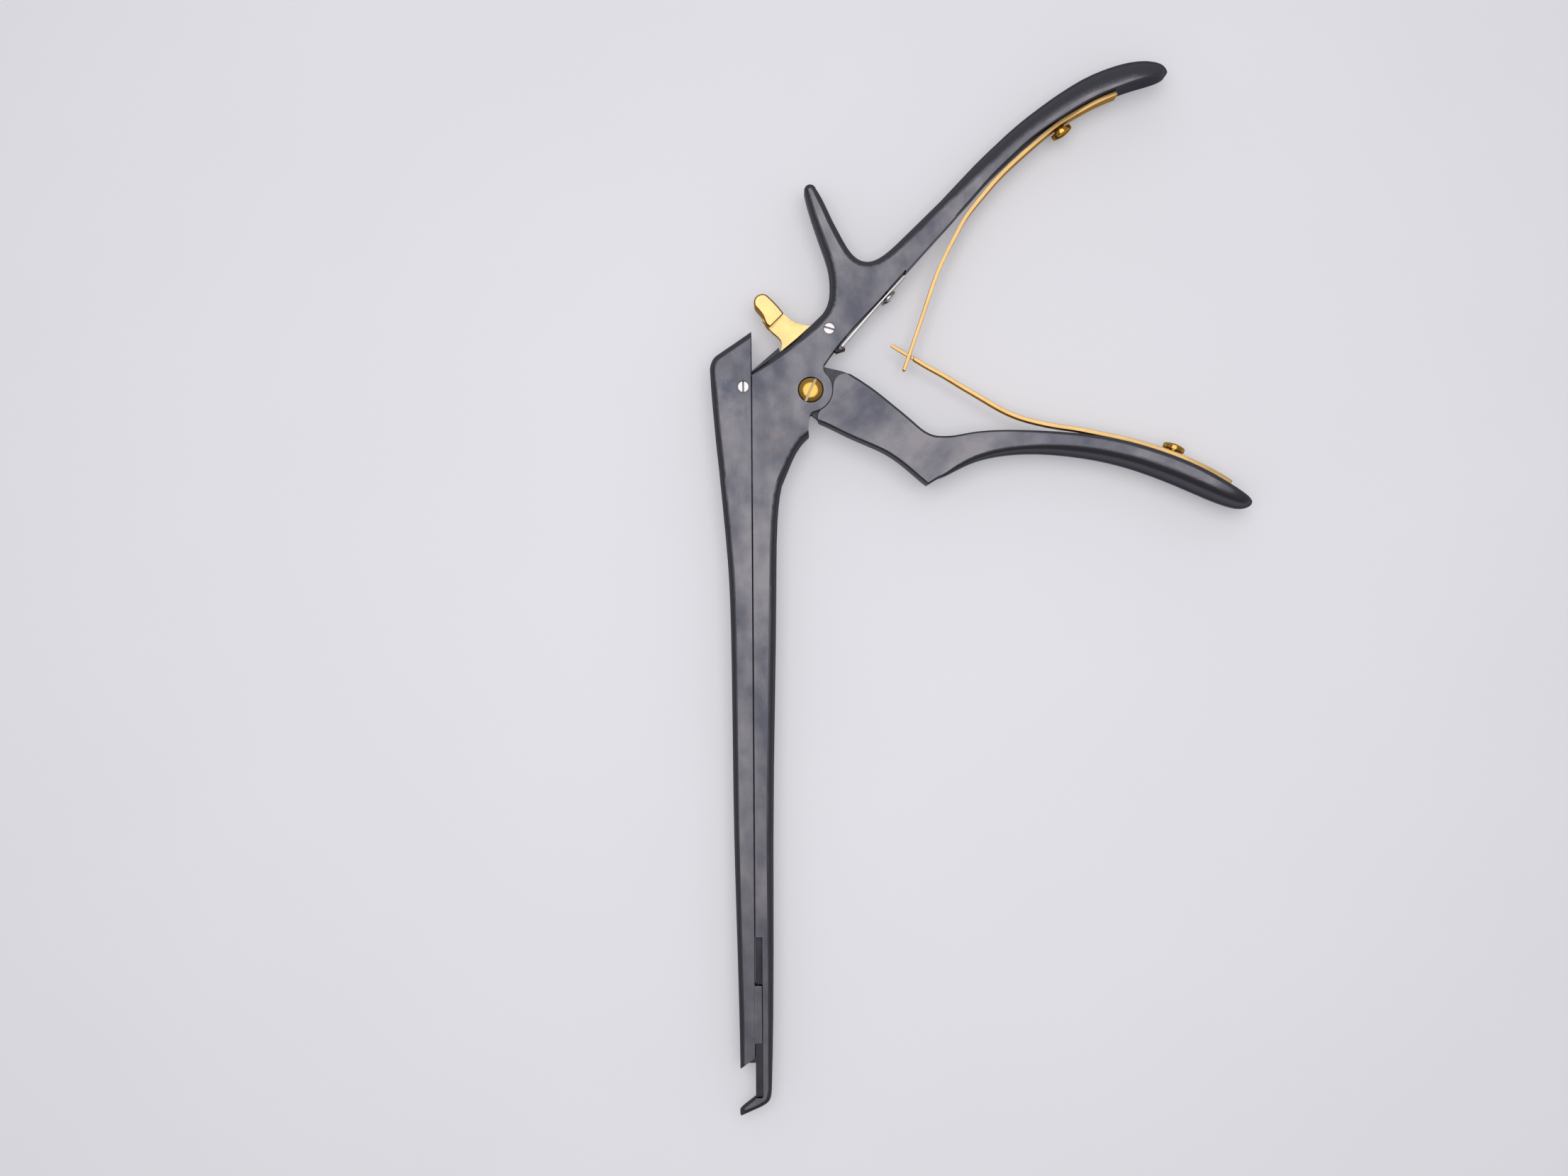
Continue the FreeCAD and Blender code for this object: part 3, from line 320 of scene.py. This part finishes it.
def gold_coated_steel(name, face, edge, gloss, brushed=1.0, tail_x=None):
    """Steel with a gold-coloured nitride coat, satin or polished."""
    # Faces and walls are yellow; only the rounded edges between them lean to orange-brown, a painted shade
    material, tree = new_material(name)
    place = node_in(tree, "ShaderNodeTexCoord", {})
    where = place.outputs["Object"]
    on_flat = facing_share(tree, place, 0.72, 0.985)
    on_wall = node_in(tree, "ShaderNodeMapRange", {
        "Value": facing_share(tree, place, 0.1, 0.35), "To Min": 1.0, "To Max": 0.0})
    plain_side = node_in(tree, "ShaderNodeMath", {0: on_flat, 1: on_wall.outputs[0]}, operation="MAXIMUM")
    colour = node_in(tree, "ShaderNodeMix", {0: plain_side.outputs[0], 6: edge, 7: face}, data_type="RGBA")
    # Satin of 0.3 mm specks, drawn bigger than the real grain so that it shows, and clouds of 4 mm
    satin = blotches(tree, where, 0.3, 3.0)
    cloudy = node_in(tree, "ShaderNodeMapRange", {
        "Value": blotches(tree, where, 4.0, 3.0), "From Min": 0.3, "From Max": 0.7,
        "To Min": 0.93, "To Max": 1.05})
    specks = node_in(tree, "ShaderNodeMapRange", {
        "Value": satin, "From Min": 0.3, "From Max": 0.7,
        "To Min": 1 - 0.12 * brushed, "To Max": 1 + 0.08 * brushed})
    shade = node_in(tree, "ShaderNodeMath", {0: cloudy.outputs[0], 1: specks.outputs[0]},
                    operation="MULTIPLY")
    colour = node_in(tree, "ShaderNodeMix", {0: 1.0, 6: colour.outputs[2], 7: shade.outputs[0]},
                     data_type="RGBA", blend_type="MULTIPLY")
    if tail_x is not None:
        # The end that works inside the frame is coloured near-black
        split = node_in(tree, "ShaderNodeSeparateXYZ", {"Vector": where})
        tail = node_in(tree, "ShaderNodeMapRange", {
            "Value": split.outputs["X"], "From Min": tail_x * MM, "From Max": (tail_x + 0.2) * MM})
        colour = node_in(tree, "ShaderNodeMix", {
            0: tail.outputs[0], 6: colour.outputs[2], 7: linear("#2c2b2f")}, data_type="RGBA")
    rough = node_in(tree, "ShaderNodeMapRange", {
        "Value": satin, "From Min": 0.3, "From Max": 0.7, "To Min": gloss - 0.04, "To Max": gloss + 0.06})
    bump = node_in(tree, "ShaderNodeBump", {
        "Height": satin, "Strength": 0.12 * brushed, "Distance": 0.01 * MM})
    shaded(tree, {"Base Color": colour.outputs[2], "Metallic": 1.0, "Specular Tint": linear("#a8843c"),
                  "Roughness": rough.outputs[0], "Normal": bump.outputs[0]})
    return material


def bright_steel(name, colour, gloss):
    """Plain stainless steel, turned and lightly brushed."""
    # Pale grey with a fine streak, 0.15 mm by 1.8 mm
    material, tree = new_material(name)
    where = node_in(tree, "ShaderNodeTexCoord", {}).outputs["Object"]
    streak = blotches(tree, where, 0.15, 2.0, (1, 12, 3))
    shade = node_in(tree, "ShaderNodeMapRange", {
        "Value": streak, "From Min": 0.3, "From Max": 0.7, "To Min": 0.9, "To Max": 1.05})
    toned = node_in(tree, "ShaderNodeMix", {0: 1.0, 6: shade.outputs[0], 7: colour},
                    data_type="RGBA", blend_type="MULTIPLY")
    rough = node_in(tree, "ShaderNodeMapRange", {"Value": streak, "To Min": gloss, "To Max": gloss + 0.1})
    shaded(tree, {"Base Color": toned.outputs[2], "Metallic": 1.0, "Roughness": rough.outputs[0]})
    return material


def paper_sweep(name, colour, glow):
    """Matt pale paper with a faint cloudiness of 60 mm."""
    # Part of its paleness is its own, so that shadows on it stay soft and pale
    material, tree = new_material(name)
    where = node_in(tree, "ShaderNodeTexCoord", {}).outputs["Object"]
    shade = node_in(tree, "ShaderNodeMapRange", {
        "Value": blotches(tree, where, 60.0, 3.0), "From Min": 0.3, "From Max": 0.7, "To Min": 0.985})
    tone = node_in(tree, "ShaderNodeMix", {0: 1.0, 6: shade.outputs[0], 7: colour},
                   data_type="RGBA", blend_type="MULTIPLY")
    # The glow that is looked at fades from the object outwards, as the light in the picture does,
    # and the metal mirrors the glow of the paper round it, not of the far floor
    path = node_in(tree, "ShaderNodeLightPath", {})
    apart = node_in(tree, "ShaderNodeVectorMath", {0: where, 1: VIEW_CENTRE}, operation="DISTANCE")
    # Painted pool of light: the glow the camera sees is strongest round the object
    painted_light_pool = node_in(tree, "ShaderNodeMapRange", {
        "Value": apart.outputs["Value"], "From Min": 60 * MM, "From Max": 300 * MM,
        "To Min": 1.0, "To Max": 0.6})
    near = node_in(tree, "ShaderNodeMapRange", {
        "Value": apart.outputs["Value"], "From Min": 200 * MM, "From Max": 500 * MM,
        "To Min": 1.0, "To Max": 0.0})
    looked_at = node_in(tree, "ShaderNodeMath", {0: path.outputs["Is Camera Ray"], 1: painted_light_pool.outputs[0]},
                        operation="MULTIPLY")
    mirrored = node_in(tree, "ShaderNodeMath", {0: path.outputs["Is Glossy Ray"], 1: near.outputs[0]},
                       operation="MULTIPLY")
    seen = node_in(tree, "ShaderNodeMath", {0: looked_at.outputs[0], 1: mirrored.outputs[0]},
                   operation="MAXIMUM")
    seen = node_in(tree, "ShaderNodeMath", {0: seen.outputs[0], 1: path.outputs["Is Transmission Ray"]},
                   operation="MAXIMUM")
    lit = node_in(tree, "ShaderNodeMath", {0: seen.outputs[0], 1: glow}, operation="MULTIPLY")
    shaded(tree, {"Base Color": tone.outputs[2], "Roughness": 0.95, "Specular IOR Level": 0.1,
                  "Emission Color": colour, "Emission Strength": lit.outputs[0]})
    return material


def dress(obj, material):
    """Give every slot of an object one material."""
    if not obj.material_slots:
        obj.data.materials.append(material)
    for slot in obj.material_slots:
        slot.material = material


def shown(name, shape, crease):
    """Object at the origin from a bmesh in metres, smooth but for edges sharper than the crease."""
    mesh = bpy.data.meshes.new(name)
    shape.to_mesh(mesh)
    shape.free()
    # Normals that came with a solid no longer fit its new shape
    for layer in [a for a in mesh.attributes if a.name == "custom_normal"]:
        mesh.attributes.remove(layer)
    for face in mesh.polygons:
        face.use_smooth = True
    mesh.set_sharp_from_angle(angle=crease)
    piece = bpy.data.objects.new(name, mesh)
    bpy.context.scene.collection.objects.link(piece)
    return piece


def resized(shape, factor):
    """Scale a shape about the origin."""
    bmesh.ops.transform(shape, matrix=Matrix.Scale(factor, 4), verts=shape.verts)


def sharp_edges(shape):
    """Edges between two faces that meet at more than the sharp angle."""
    return [e for e in shape.edges if len(e.link_faces) == 2 and e.calc_face_angle(0.0) > SHARP_ANGLE]


def rounded(shape, edges, offset, segments):
    """Round edges over by an offset."""
    bmesh.ops.bevel(shape, geom=edges, offset=offset, offset_type="OFFSET", segments=segments,
                    profile=0.5, affect="EDGES", material=-1, clamp_overlap=True)


def welded_copy(node):
    """A copy of a solid whose loose triangles are joined."""
    shape = bmesh.new()
    shape.from_mesh(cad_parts[node].data)
    bmesh.ops.remove_doubles(shape, verts=shape.verts, dist=WELD)
    return shape


def flats_merged(shape):
    """Join triangles that lie in one flat face."""
    bmesh.ops.dissolve_limit(shape, angle_limit=FLAT_ANGLE, verts=shape.verts, edges=shape.edges)


def softened(shape, name, round_over, segments):
    """The piece made from a shape once its sharp edges are rounded over."""
    rounded(shape, sharp_edges(shape), round_over, segments)
    return shown(name, shape, PART_CREASE)


def narrowed(shape, axis, wide_at, tip_at, tip_share):
    """Narrow a leaf about its middle plane, from full width at one place to its share at the tip."""
    for corner in shape.verts:
        along = (corner.co[axis] - tip_at * MM) / ((wide_at - tip_at) * MM)
        share = tip_share + (1 - tip_share) * min(max(along, 0.0), 1.0)
        corner.co.z = MID_Z * MM + (corner.co.z - MID_Z * MM) * share


def shoulders_back(shape):
    """Set the shoulders beside the tongue back, clear of the other leaf at the closed pose."""
    low, high = SHOULDER_X
    outer = [v for v in shape.verts
             if low < v.co.x / MM < high and abs(v.co.z / MM - MID_Z) > SHOULDER_OUT]
    bmesh.ops.translate(shape, verts=outer, vec=Vector(SHOULDER_BACK) * MM)


def shoulders_rounded(shape):
    """Round the shoulders beside the tongue, where it enters the other leaf's window."""
    low, high = SHOULDER_X
    ends = [e for e in shape.edges
            if all(low < v.co.x / MM < high + SHOULDER_BACK_MOST for v in e.verts)
            and abs(e.verts[0].co.z - e.verts[1].co.z) > SHOULDER_EDGE * MM
            and e.calc_face_angle(0.0) > SHOULDER_ANGLE]
    rounded(shape, ends, SHOULDER_ROUND * MM, SHOULDER_STEPS)


def rear_leaf_shape(tip_share):
    """The rear leaf with its window, narrower at its free end."""
    shape = welded_copy("rear_leaf_spring")
    narrowed(shape, *REAR_NARROWING, tip_share)
    flats_merged(shape)
    return shape


def front_leaf_shape(tip_share):
    """The front leaf with its tongue between two round shoulders, narrower at its free end."""
    shape = welded_copy("front_leaf_spring")
    shoulders_back(shape)
    narrowed(shape, *FRONT_NARROWING, tip_share)
    flats_merged(shape)
    shoulders_rounded(shape)
    return shape


def small_part_shape(node):
    """A solid as it is, with its flat faces whole."""
    shape = welded_copy(node)
    flats_merged(shape)
    return shape


def turned_screw(size):
    """A domed screw along +Z in mm, turned from its half section."""
    rim = size.head_r - min(DOME_INSET, size.head_h / 3)
    rise = size.dome * DOME_SHARE
    ball = (rim ** 2 + rise ** 2) / (2 * rise)
    crown = size.head_h + size.dome
    section = [(0, -size.shank_l), (size.shank_r, -size.shank_l), (size.shank_r, 0), (size.head_r, 0),
               (size.head_r, size.head_h)]
    for step in range(DOME_STEPS, -1, -1):
        lean = asin(rim / ball) * step / DOME_STEPS
        section.append((ball * sin(lean), crown - ball * (1 - cos(lean))))
    shape = bmesh.new()
    corners = [shape.verts.new((x, 0, z)) for x, z in section]
    edges = [shape.edges.new(pair) for pair in zip(corners, corners[1:])]
    bmesh.ops.spin(shape, geom=corners + edges, cent=(0, 0, 0), axis=UP, angle=2 * pi,
                   steps=TURNS, use_merge=True, use_duplicate=False)
    bmesh.ops.remove_doubles(shape, verts=shape.verts, dist=SCREW_WELD)
    bmesh.ops.recalc_face_normals(shape, faces=shape.faces)
    return shape


def slot_cut(shape, size, name):
    """The same screw with its slot milled across the head; the slot's faces take the second material."""
    floor = size.head_h - size.slot_d
    tall = size.slot_d + size.dome + MILL_OVER
    mill = bmesh.new()
    bmesh.ops.create_cube(mill, size=1)
    bmesh.ops.scale(mill, vec=(size.head_r * MILL_LENGTH, size.slot_w, tall), verts=mill.verts)
    bmesh.ops.translate(mill, vec=(0, 0, floor + tall / 2), verts=mill.verts)
    resized(shape, MM)
    resized(mill, MM)
    blank = shown(name + "_blank", shape, SCREW_CREASE)
    cutter = shown(name + "_mill", mill, SCREW_CREASE)
    cut = blank.modifiers.new("slot", "BOOLEAN")
    cut.operation = "DIFFERENCE"
    cut.solver = "EXACT"
    cut.object = cutter
    seen = blank.evaluated_get(bpy.context.evaluated_depsgraph_get())
    milled = bmesh.new()
    milled.from_mesh(bpy.data.meshes.new_from_object(seen))
    for used in (blank, cutter):
        bpy.data.objects.remove(used)
    resized(milled, 1 / MM)
    for face in milled.faces:
        middle = face.calc_center_median()
        inside = abs(middle.y) < size.slot_w / 2 + SLOT_MARGIN and middle.z > floor - SLOT_MARGIN
        face.material_index = int(inside)
    rounded(milled, sharp_edges(milled), SCREW_BREAK, SCREW_BREAK_STEPS)
    return milled


class RongeurFinish(bpy.types.PropertyGroup):
    """Colours of the coatings."""
    black_light: FloatVectorProperty(name="Black, light", description="Light patches of the ground flats",
                                     subtype="COLOR", size=4, default=linear("#6d6a6e"))
    black_dark: FloatVectorProperty(name="Black, dark", description="Dark patches of the ground flats",
                                    subtype="COLOR", size=4, default=linear("#4e4f58"))
    black_round: FloatVectorProperty(name="Black, edges", description="Polished round edges",
                                     subtype="COLOR", size=4, default=linear("#55555a"))
    # Painted shade: the walls are coloured darker than the coat on the flats
    black_wall_painted_shade: FloatVectorProperty(name="Black, walls",
                                    description="Upright walls, never ground or polished",
                                    subtype="COLOR", size=4, default=linear("#37363a"))
    leaf_face: FloatVectorProperty(name="Leaf, faces", description="Flat faces of the gold leaf springs",
                                   subtype="COLOR", size=4, default=linear("#cfac74"))
    # Painted shade: the leaf's edge colour is darker than its faces
    leaf_edge_painted_shade: FloatVectorProperty(name="Leaf, edges", description="Edges of the gold leaf springs",
                                   subtype="COLOR", size=4, default=linear("#744820"))
    latch_face: FloatVectorProperty(name="Latch, faces", description="Flat faces of the gold latch",
                                    subtype="COLOR", size=4, default=linear("#c3ab74"))
    # Painted shade: the latch's edge colour is darker than its faces
    latch_edge_painted_shade: FloatVectorProperty(name="Latch, edges", description="Edges of the gold latch",
                                    subtype="COLOR", size=4, default=linear("#a3702c"))
    screw_gold: FloatVectorProperty(name="Gold screws", description="Polished heads of the gold screws",
                                    subtype="COLOR", size=4, default=linear("#b88f48"))
    steel: FloatVectorProperty(name="Bright steel", description="Small screws and the latch's leaf",
                               subtype="COLOR", size=4, default=linear("#b4afb0"))


class RongeurEdges(bpy.types.PropertyGroup):
    """How small edges are rounded over, and how narrow the leaves end."""
    leaf: FloatProperty(name="Leaf edges", description="Rounding of the leaf springs' edges",
                        subtype="DISTANCE", default=0.27 * MM, min=0.0, max=0.4 * MM)
    leaf_tip: FloatProperty(name="Leaf tips",
                            description="Width of a leaf's free end as a share of its width",
                            default=0.55, min=0.4, max=1.0)
    small: FloatProperty(name="Small edges", description="Rounding of the latch leaf's edges",
                         subtype="DISTANCE", default=0.08 * MM, min=0.0, max=0.2 * MM)
    latch: FloatProperty(name="Latch edges", description="Rounding of the latch's edges",
                         subtype="DISTANCE", default=0.15 * MM, min=0.0, max=0.4 * MM)
    segments: IntProperty(name="Segments", description="Steps across each rounded edge",
                          default=3, min=1, max=6)


class RongeurStage(bpy.types.PropertyGroup):
    """Paper and lights."""
    paper: FloatVectorProperty(name="Paper", description="Colour of the paper under the object",
                               subtype="COLOR", size=4, default=linear("#dfdee2"))
    glow: FloatProperty(name="Paper glow", description="Share of the paper's paleness that no shadow darkens",
                        default=0.28, min=0.0, max=1.0)
    key_size: FloatProperty(name="Light size", description="Width of the round overhead soft light",
                            subtype="DISTANCE", default=1020 * MM, min=100 * MM)
    key_height: FloatProperty(name="Light height", description="Height of the overhead soft light",
                              subtype="DISTANCE", default=1100 * MM, min=600 * MM)
    key_shift: FloatProperty(name="Light shift",
                             description="How far the light hangs towards the handles from the view's centre",
                             subtype="DISTANCE", default=150 * MM)
    key_power: FloatProperty(name="Light power", description="Power of the overhead soft light in watts",
                             default=5.6, min=0.0)
    room_near: FloatProperty(name="Room light, near", description="Light from the side of the shaft's tip",
                             default=0.26, min=0.0)
    room_far: FloatProperty(name="Room light, far", description="Light from the side of the handles",
                            default=0.6, min=0.0)


class RONGEUR_OT_finishes(bpy.types.Operator):
    """Coat the frame, the sliding shaft, the ejector and the trigger"""
    bl_idname = "rongeur.finishes"
    bl_label = "Coat the black parts"

    def execute(self, context):
        finish = context.scene.rongeur_finish
        coats = {
            "fixed_frame": black_coated_steel(
                "black_coated_frame", finish, SHAFT_GRIND, FRAME_STAINS, seam=True),
            "sliding_shaft": black_coated_steel(
                "black_coated_slider", finish, SHAFT_GRIND, SLIDER_STAINS, seam=True),
            "ejector": black_coated_steel("black_coated_ejector", finish, SHAFT_GRIND),
            "trigger_handle": black_coated_steel("black_coated_trigger", finish, TRIGGER_GRIND),
        }
        for name, coat in coats.items():
            dress(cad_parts[name], coat)
        return {"FINISHED"}


class RONGEUR_OT_leaf_springs(bpy.types.Operator):
    """Make the two crossing leaf springs, which bend with their joints, and the latch's leaf"""
    bl_idname = "rongeur.leaf_springs"
    bl_label = "Make the leaf springs"

    def execute(self, context):
        finish = context.scene.rongeur_finish
        edges = context.scene.rongeur_edges
        gold = gold_coated_steel("gold_coated_spring_steel", finish.leaf_face, finish.leaf_edge_painted_shade, gloss=0.42)
        leaves = (
            ("rear_leaf_spring", rear_leaf_shape, "frame", "rear_spring", REAR_BEND),
            ("front_leaf_spring", front_leaf_shape, "trigger", "front_spring", FRONT_BEND),
        )
        for node, leaf_shape, seat_body, free_body, (start, end) in leaves:
            leaf = softened(leaf_shape(edges.leaf_tip), node + "_shown", edges.leaf, edges.segments)
            dress(leaf, gold)
            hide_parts(node)
            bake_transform(leaf, seat_body, free_body, start=Vector(start) * MM, end=Vector(end) * MM)
        leaf = softened(small_part_shape("latch_leaf_spring"), "latch_leaf_spring_shown",
                        edges.small, edges.segments)
        dress(leaf, bright_steel("bright_spring_steel", finish.steel, gloss=0.25))
        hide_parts("latch_leaf_spring")
        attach(leaf, "frame")
        return {"FINISHED"}


class RONGEUR_OT_screws(bpy.types.Operator):
    """Turn the six screws, mill their slots and set them in place"""
    bl_idname = "rongeur.screws"
    bl_label = "Make the screws"

    def execute(self, context):
        finish = context.scene.rongeur_finish
        # Each kind has a coat for the head and a darker one for its slot, whose darkness is painted shade
        coats = {
            "gold": (gold_coated_steel("gold_coated_screw", finish.screw_gold, finish.screw_gold,
                                       gloss=0.12, brushed=0.3),
                     gold_coated_steel("gold_slot_painted_shade", linear("#a3906c"), linear("#5a4326"),
                                       gloss=0.35)),
            "steel": (bright_steel("bright_screw_steel", finish.steel, gloss=0.22),
                      bright_steel("steel_slot_painted_shade", linear("#716d6f"), gloss=0.4)),
        }
        for node, body, kind, size, spot, facing, turn in SCREWS:
            shape = slot_cut(turned_screw(size), size, node)
            aim = Vector(UP).rotation_difference(Vector(facing)).to_matrix().to_4x4()
            place = Matrix.Translation(Vector(spot)) @ aim @ Matrix.Rotation(radians(turn), 4, "Z")
            bmesh.ops.transform(shape, matrix=place, verts=shape.verts)
            resized(shape, MM)
            screw = shown(node + "_shown", shape, SCREW_CREASE)
            for coat in coats[kind]:
                screw.data.materials.append(coat)
            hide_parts(node)
            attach(screw, body)
        return {"FINISHED"}


class RONGEUR_OT_latch(bpy.types.Operator):
    """Make the thumb latch with softened edges"""
    bl_idname = "rongeur.latch"
    bl_label = "Make the thumb latch"

    def execute(self, context):
        finish = context.scene.rongeur_finish
        edges = context.scene.rongeur_edges
        latch = softened(small_part_shape("thumb_latch"), "thumb_latch_shown", edges.latch, edges.segments)
        dress(latch, gold_coated_steel("gold_coated_latch", finish.latch_face, finish.latch_edge_painted_shade,
                                       gloss=0.3, brushed=0.4, tail_x=LATCH_TAIL_X))
        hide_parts("thumb_latch")
        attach(latch, "latch")
        return {"FINISHED"}


class RONGEUR_OT_stage(bpy.types.Operator):
    """Lay the paper, hang the overhead light, light the room and set the camera"""
    bl_idname = "rongeur.stage"
    bl_label = "Set the stage"

    def execute(self, context):
        stage = context.scene.rongeur_stage
        sheet = bmesh.new()
        bmesh.ops.create_grid(sheet, x_segments=2, y_segments=2, size=FLOOR_HALF)
        lowest = FRAME_BOX[0][2] - FLOOR_DROP
        bmesh.ops.translate(sheet, verts=sheet.verts, vec=Vector((VIEW_CENTRE.x, VIEW_CENTRE.y, lowest)))
        mesh = bpy.data.meshes.new("paper")
        sheet.to_mesh(mesh)
        sheet.free()
        paper = bpy.data.objects.new("paper", mesh)
        context.scene.collection.objects.link(paper)
        dress(paper, paper_sweep("matt_paper", stage.paper, stage.glow))

        lamp = bpy.data.lights.new("overhead_soft_light", "AREA")
        lamp.shape = "DISK"
        lamp.size = stage.key_size
        lamp.energy = stage.key_power
        hung = bpy.data.objects.new("overhead_soft_light", lamp)
        hung.location = VIEW_CENTRE + Vector((0.0, stage.key_shift, stage.key_height))
        context.scene.collection.objects.link(hung)

        # The room is lighter behind the handles than beyond the shaft's tip
        room = bpy.data.worlds.new("even_room")
        room.use_nodes = True
        tree = room.node_tree
        toward = node_in(tree, "ShaderNodeTexCoord", {})
        split = node_in(tree, "ShaderNodeSeparateXYZ", {"Vector": toward.outputs["Generated"]})
        strength = node_in(tree, "ShaderNodeMapRange", {
            "Value": split.outputs["Y"], "From Min": -1.0, "From Max": 1.0,
            "To Min": stage.room_near, "To Max": stage.room_far})
        background = tree.nodes["Background"]
        background.inputs["Color"].default_value = linear("#f6f6fb")
        tree.links.new(strength.outputs[0], background.inputs["Strength"])
        context.scene.world = room

        eye = bpy.data.cameras.new("camera")
        eye.lens = VIEW_LENS
        eye.sensor_width = VIEW_SENSOR
        eye.sensor_fit = "HORIZONTAL"
        eye.clip_start = 10 * MM
        camera = bpy.data.objects.new("camera", eye)
        camera.location = (VIEW_CENTRE.x, VIEW_CENTRE.y, VIEW_HEIGHT)
        camera.rotation_euler = (0.0, 0.0, VIEW_ROLL)
        context.scene.collection.objects.link(camera)
        context.scene.camera = camera
        context.scene.view_settings.view_transform = "Standard"
        return {"FINISHED"}


class RONGEUR_PT_panel(bpy.types.Panel):
    """Lists the sizes, the colours and the steps that dress the rongeur"""
    bl_idname = "RONGEUR_PT_panel"
    bl_label = "Bone Rongeur"
    bl_space_type = "VIEW_3D"
    bl_region_type = "UI"
    bl_category = "Rongeur"

    def draw(self, context):
        column = self.layout.column()
        for group in GROUPS:
            settings = getattr(context.scene, group)
            for name in settings.__annotations__:
                column.prop(settings, name)
        for step in STEPS:
            column.operator(step.bl_idname)


GROUPS = {"rongeur_finish": RongeurFinish, "rongeur_edges": RongeurEdges, "rongeur_stage": RongeurStage}
STEPS = (RONGEUR_OT_stage, RONGEUR_OT_finishes, RONGEUR_OT_leaf_springs, RONGEUR_OT_screws, RONGEUR_OT_latch)


def register():
    """Add the settings, the operators and the panel."""
    for name, group in GROUPS.items():
        bpy.utils.register_class(group)
        setattr(bpy.types.Scene, name, PointerProperty(type=group))
    for step in STEPS:
        bpy.utils.register_class(step)
    bpy.utils.register_class(RONGEUR_PT_panel)


def unregister():
    """Take away what register added."""
    bpy.utils.unregister_class(RONGEUR_PT_panel)
    for step in reversed(STEPS):
        bpy.utils.unregister_class(step)
    for name, group in GROUPS.items():
        delattr(bpy.types.Scene, name)
        bpy.utils.unregister_class(group)


def main():
    """Register the add-on and run every step."""
    register()
    bpy.ops.rongeur.stage()
    bpy.ops.rongeur.finishes()
    bpy.ops.rongeur.leaf_springs()
    bpy.ops.rongeur.screws()
    bpy.ops.rongeur.latch()


if __name__ == "__main__":
    main()
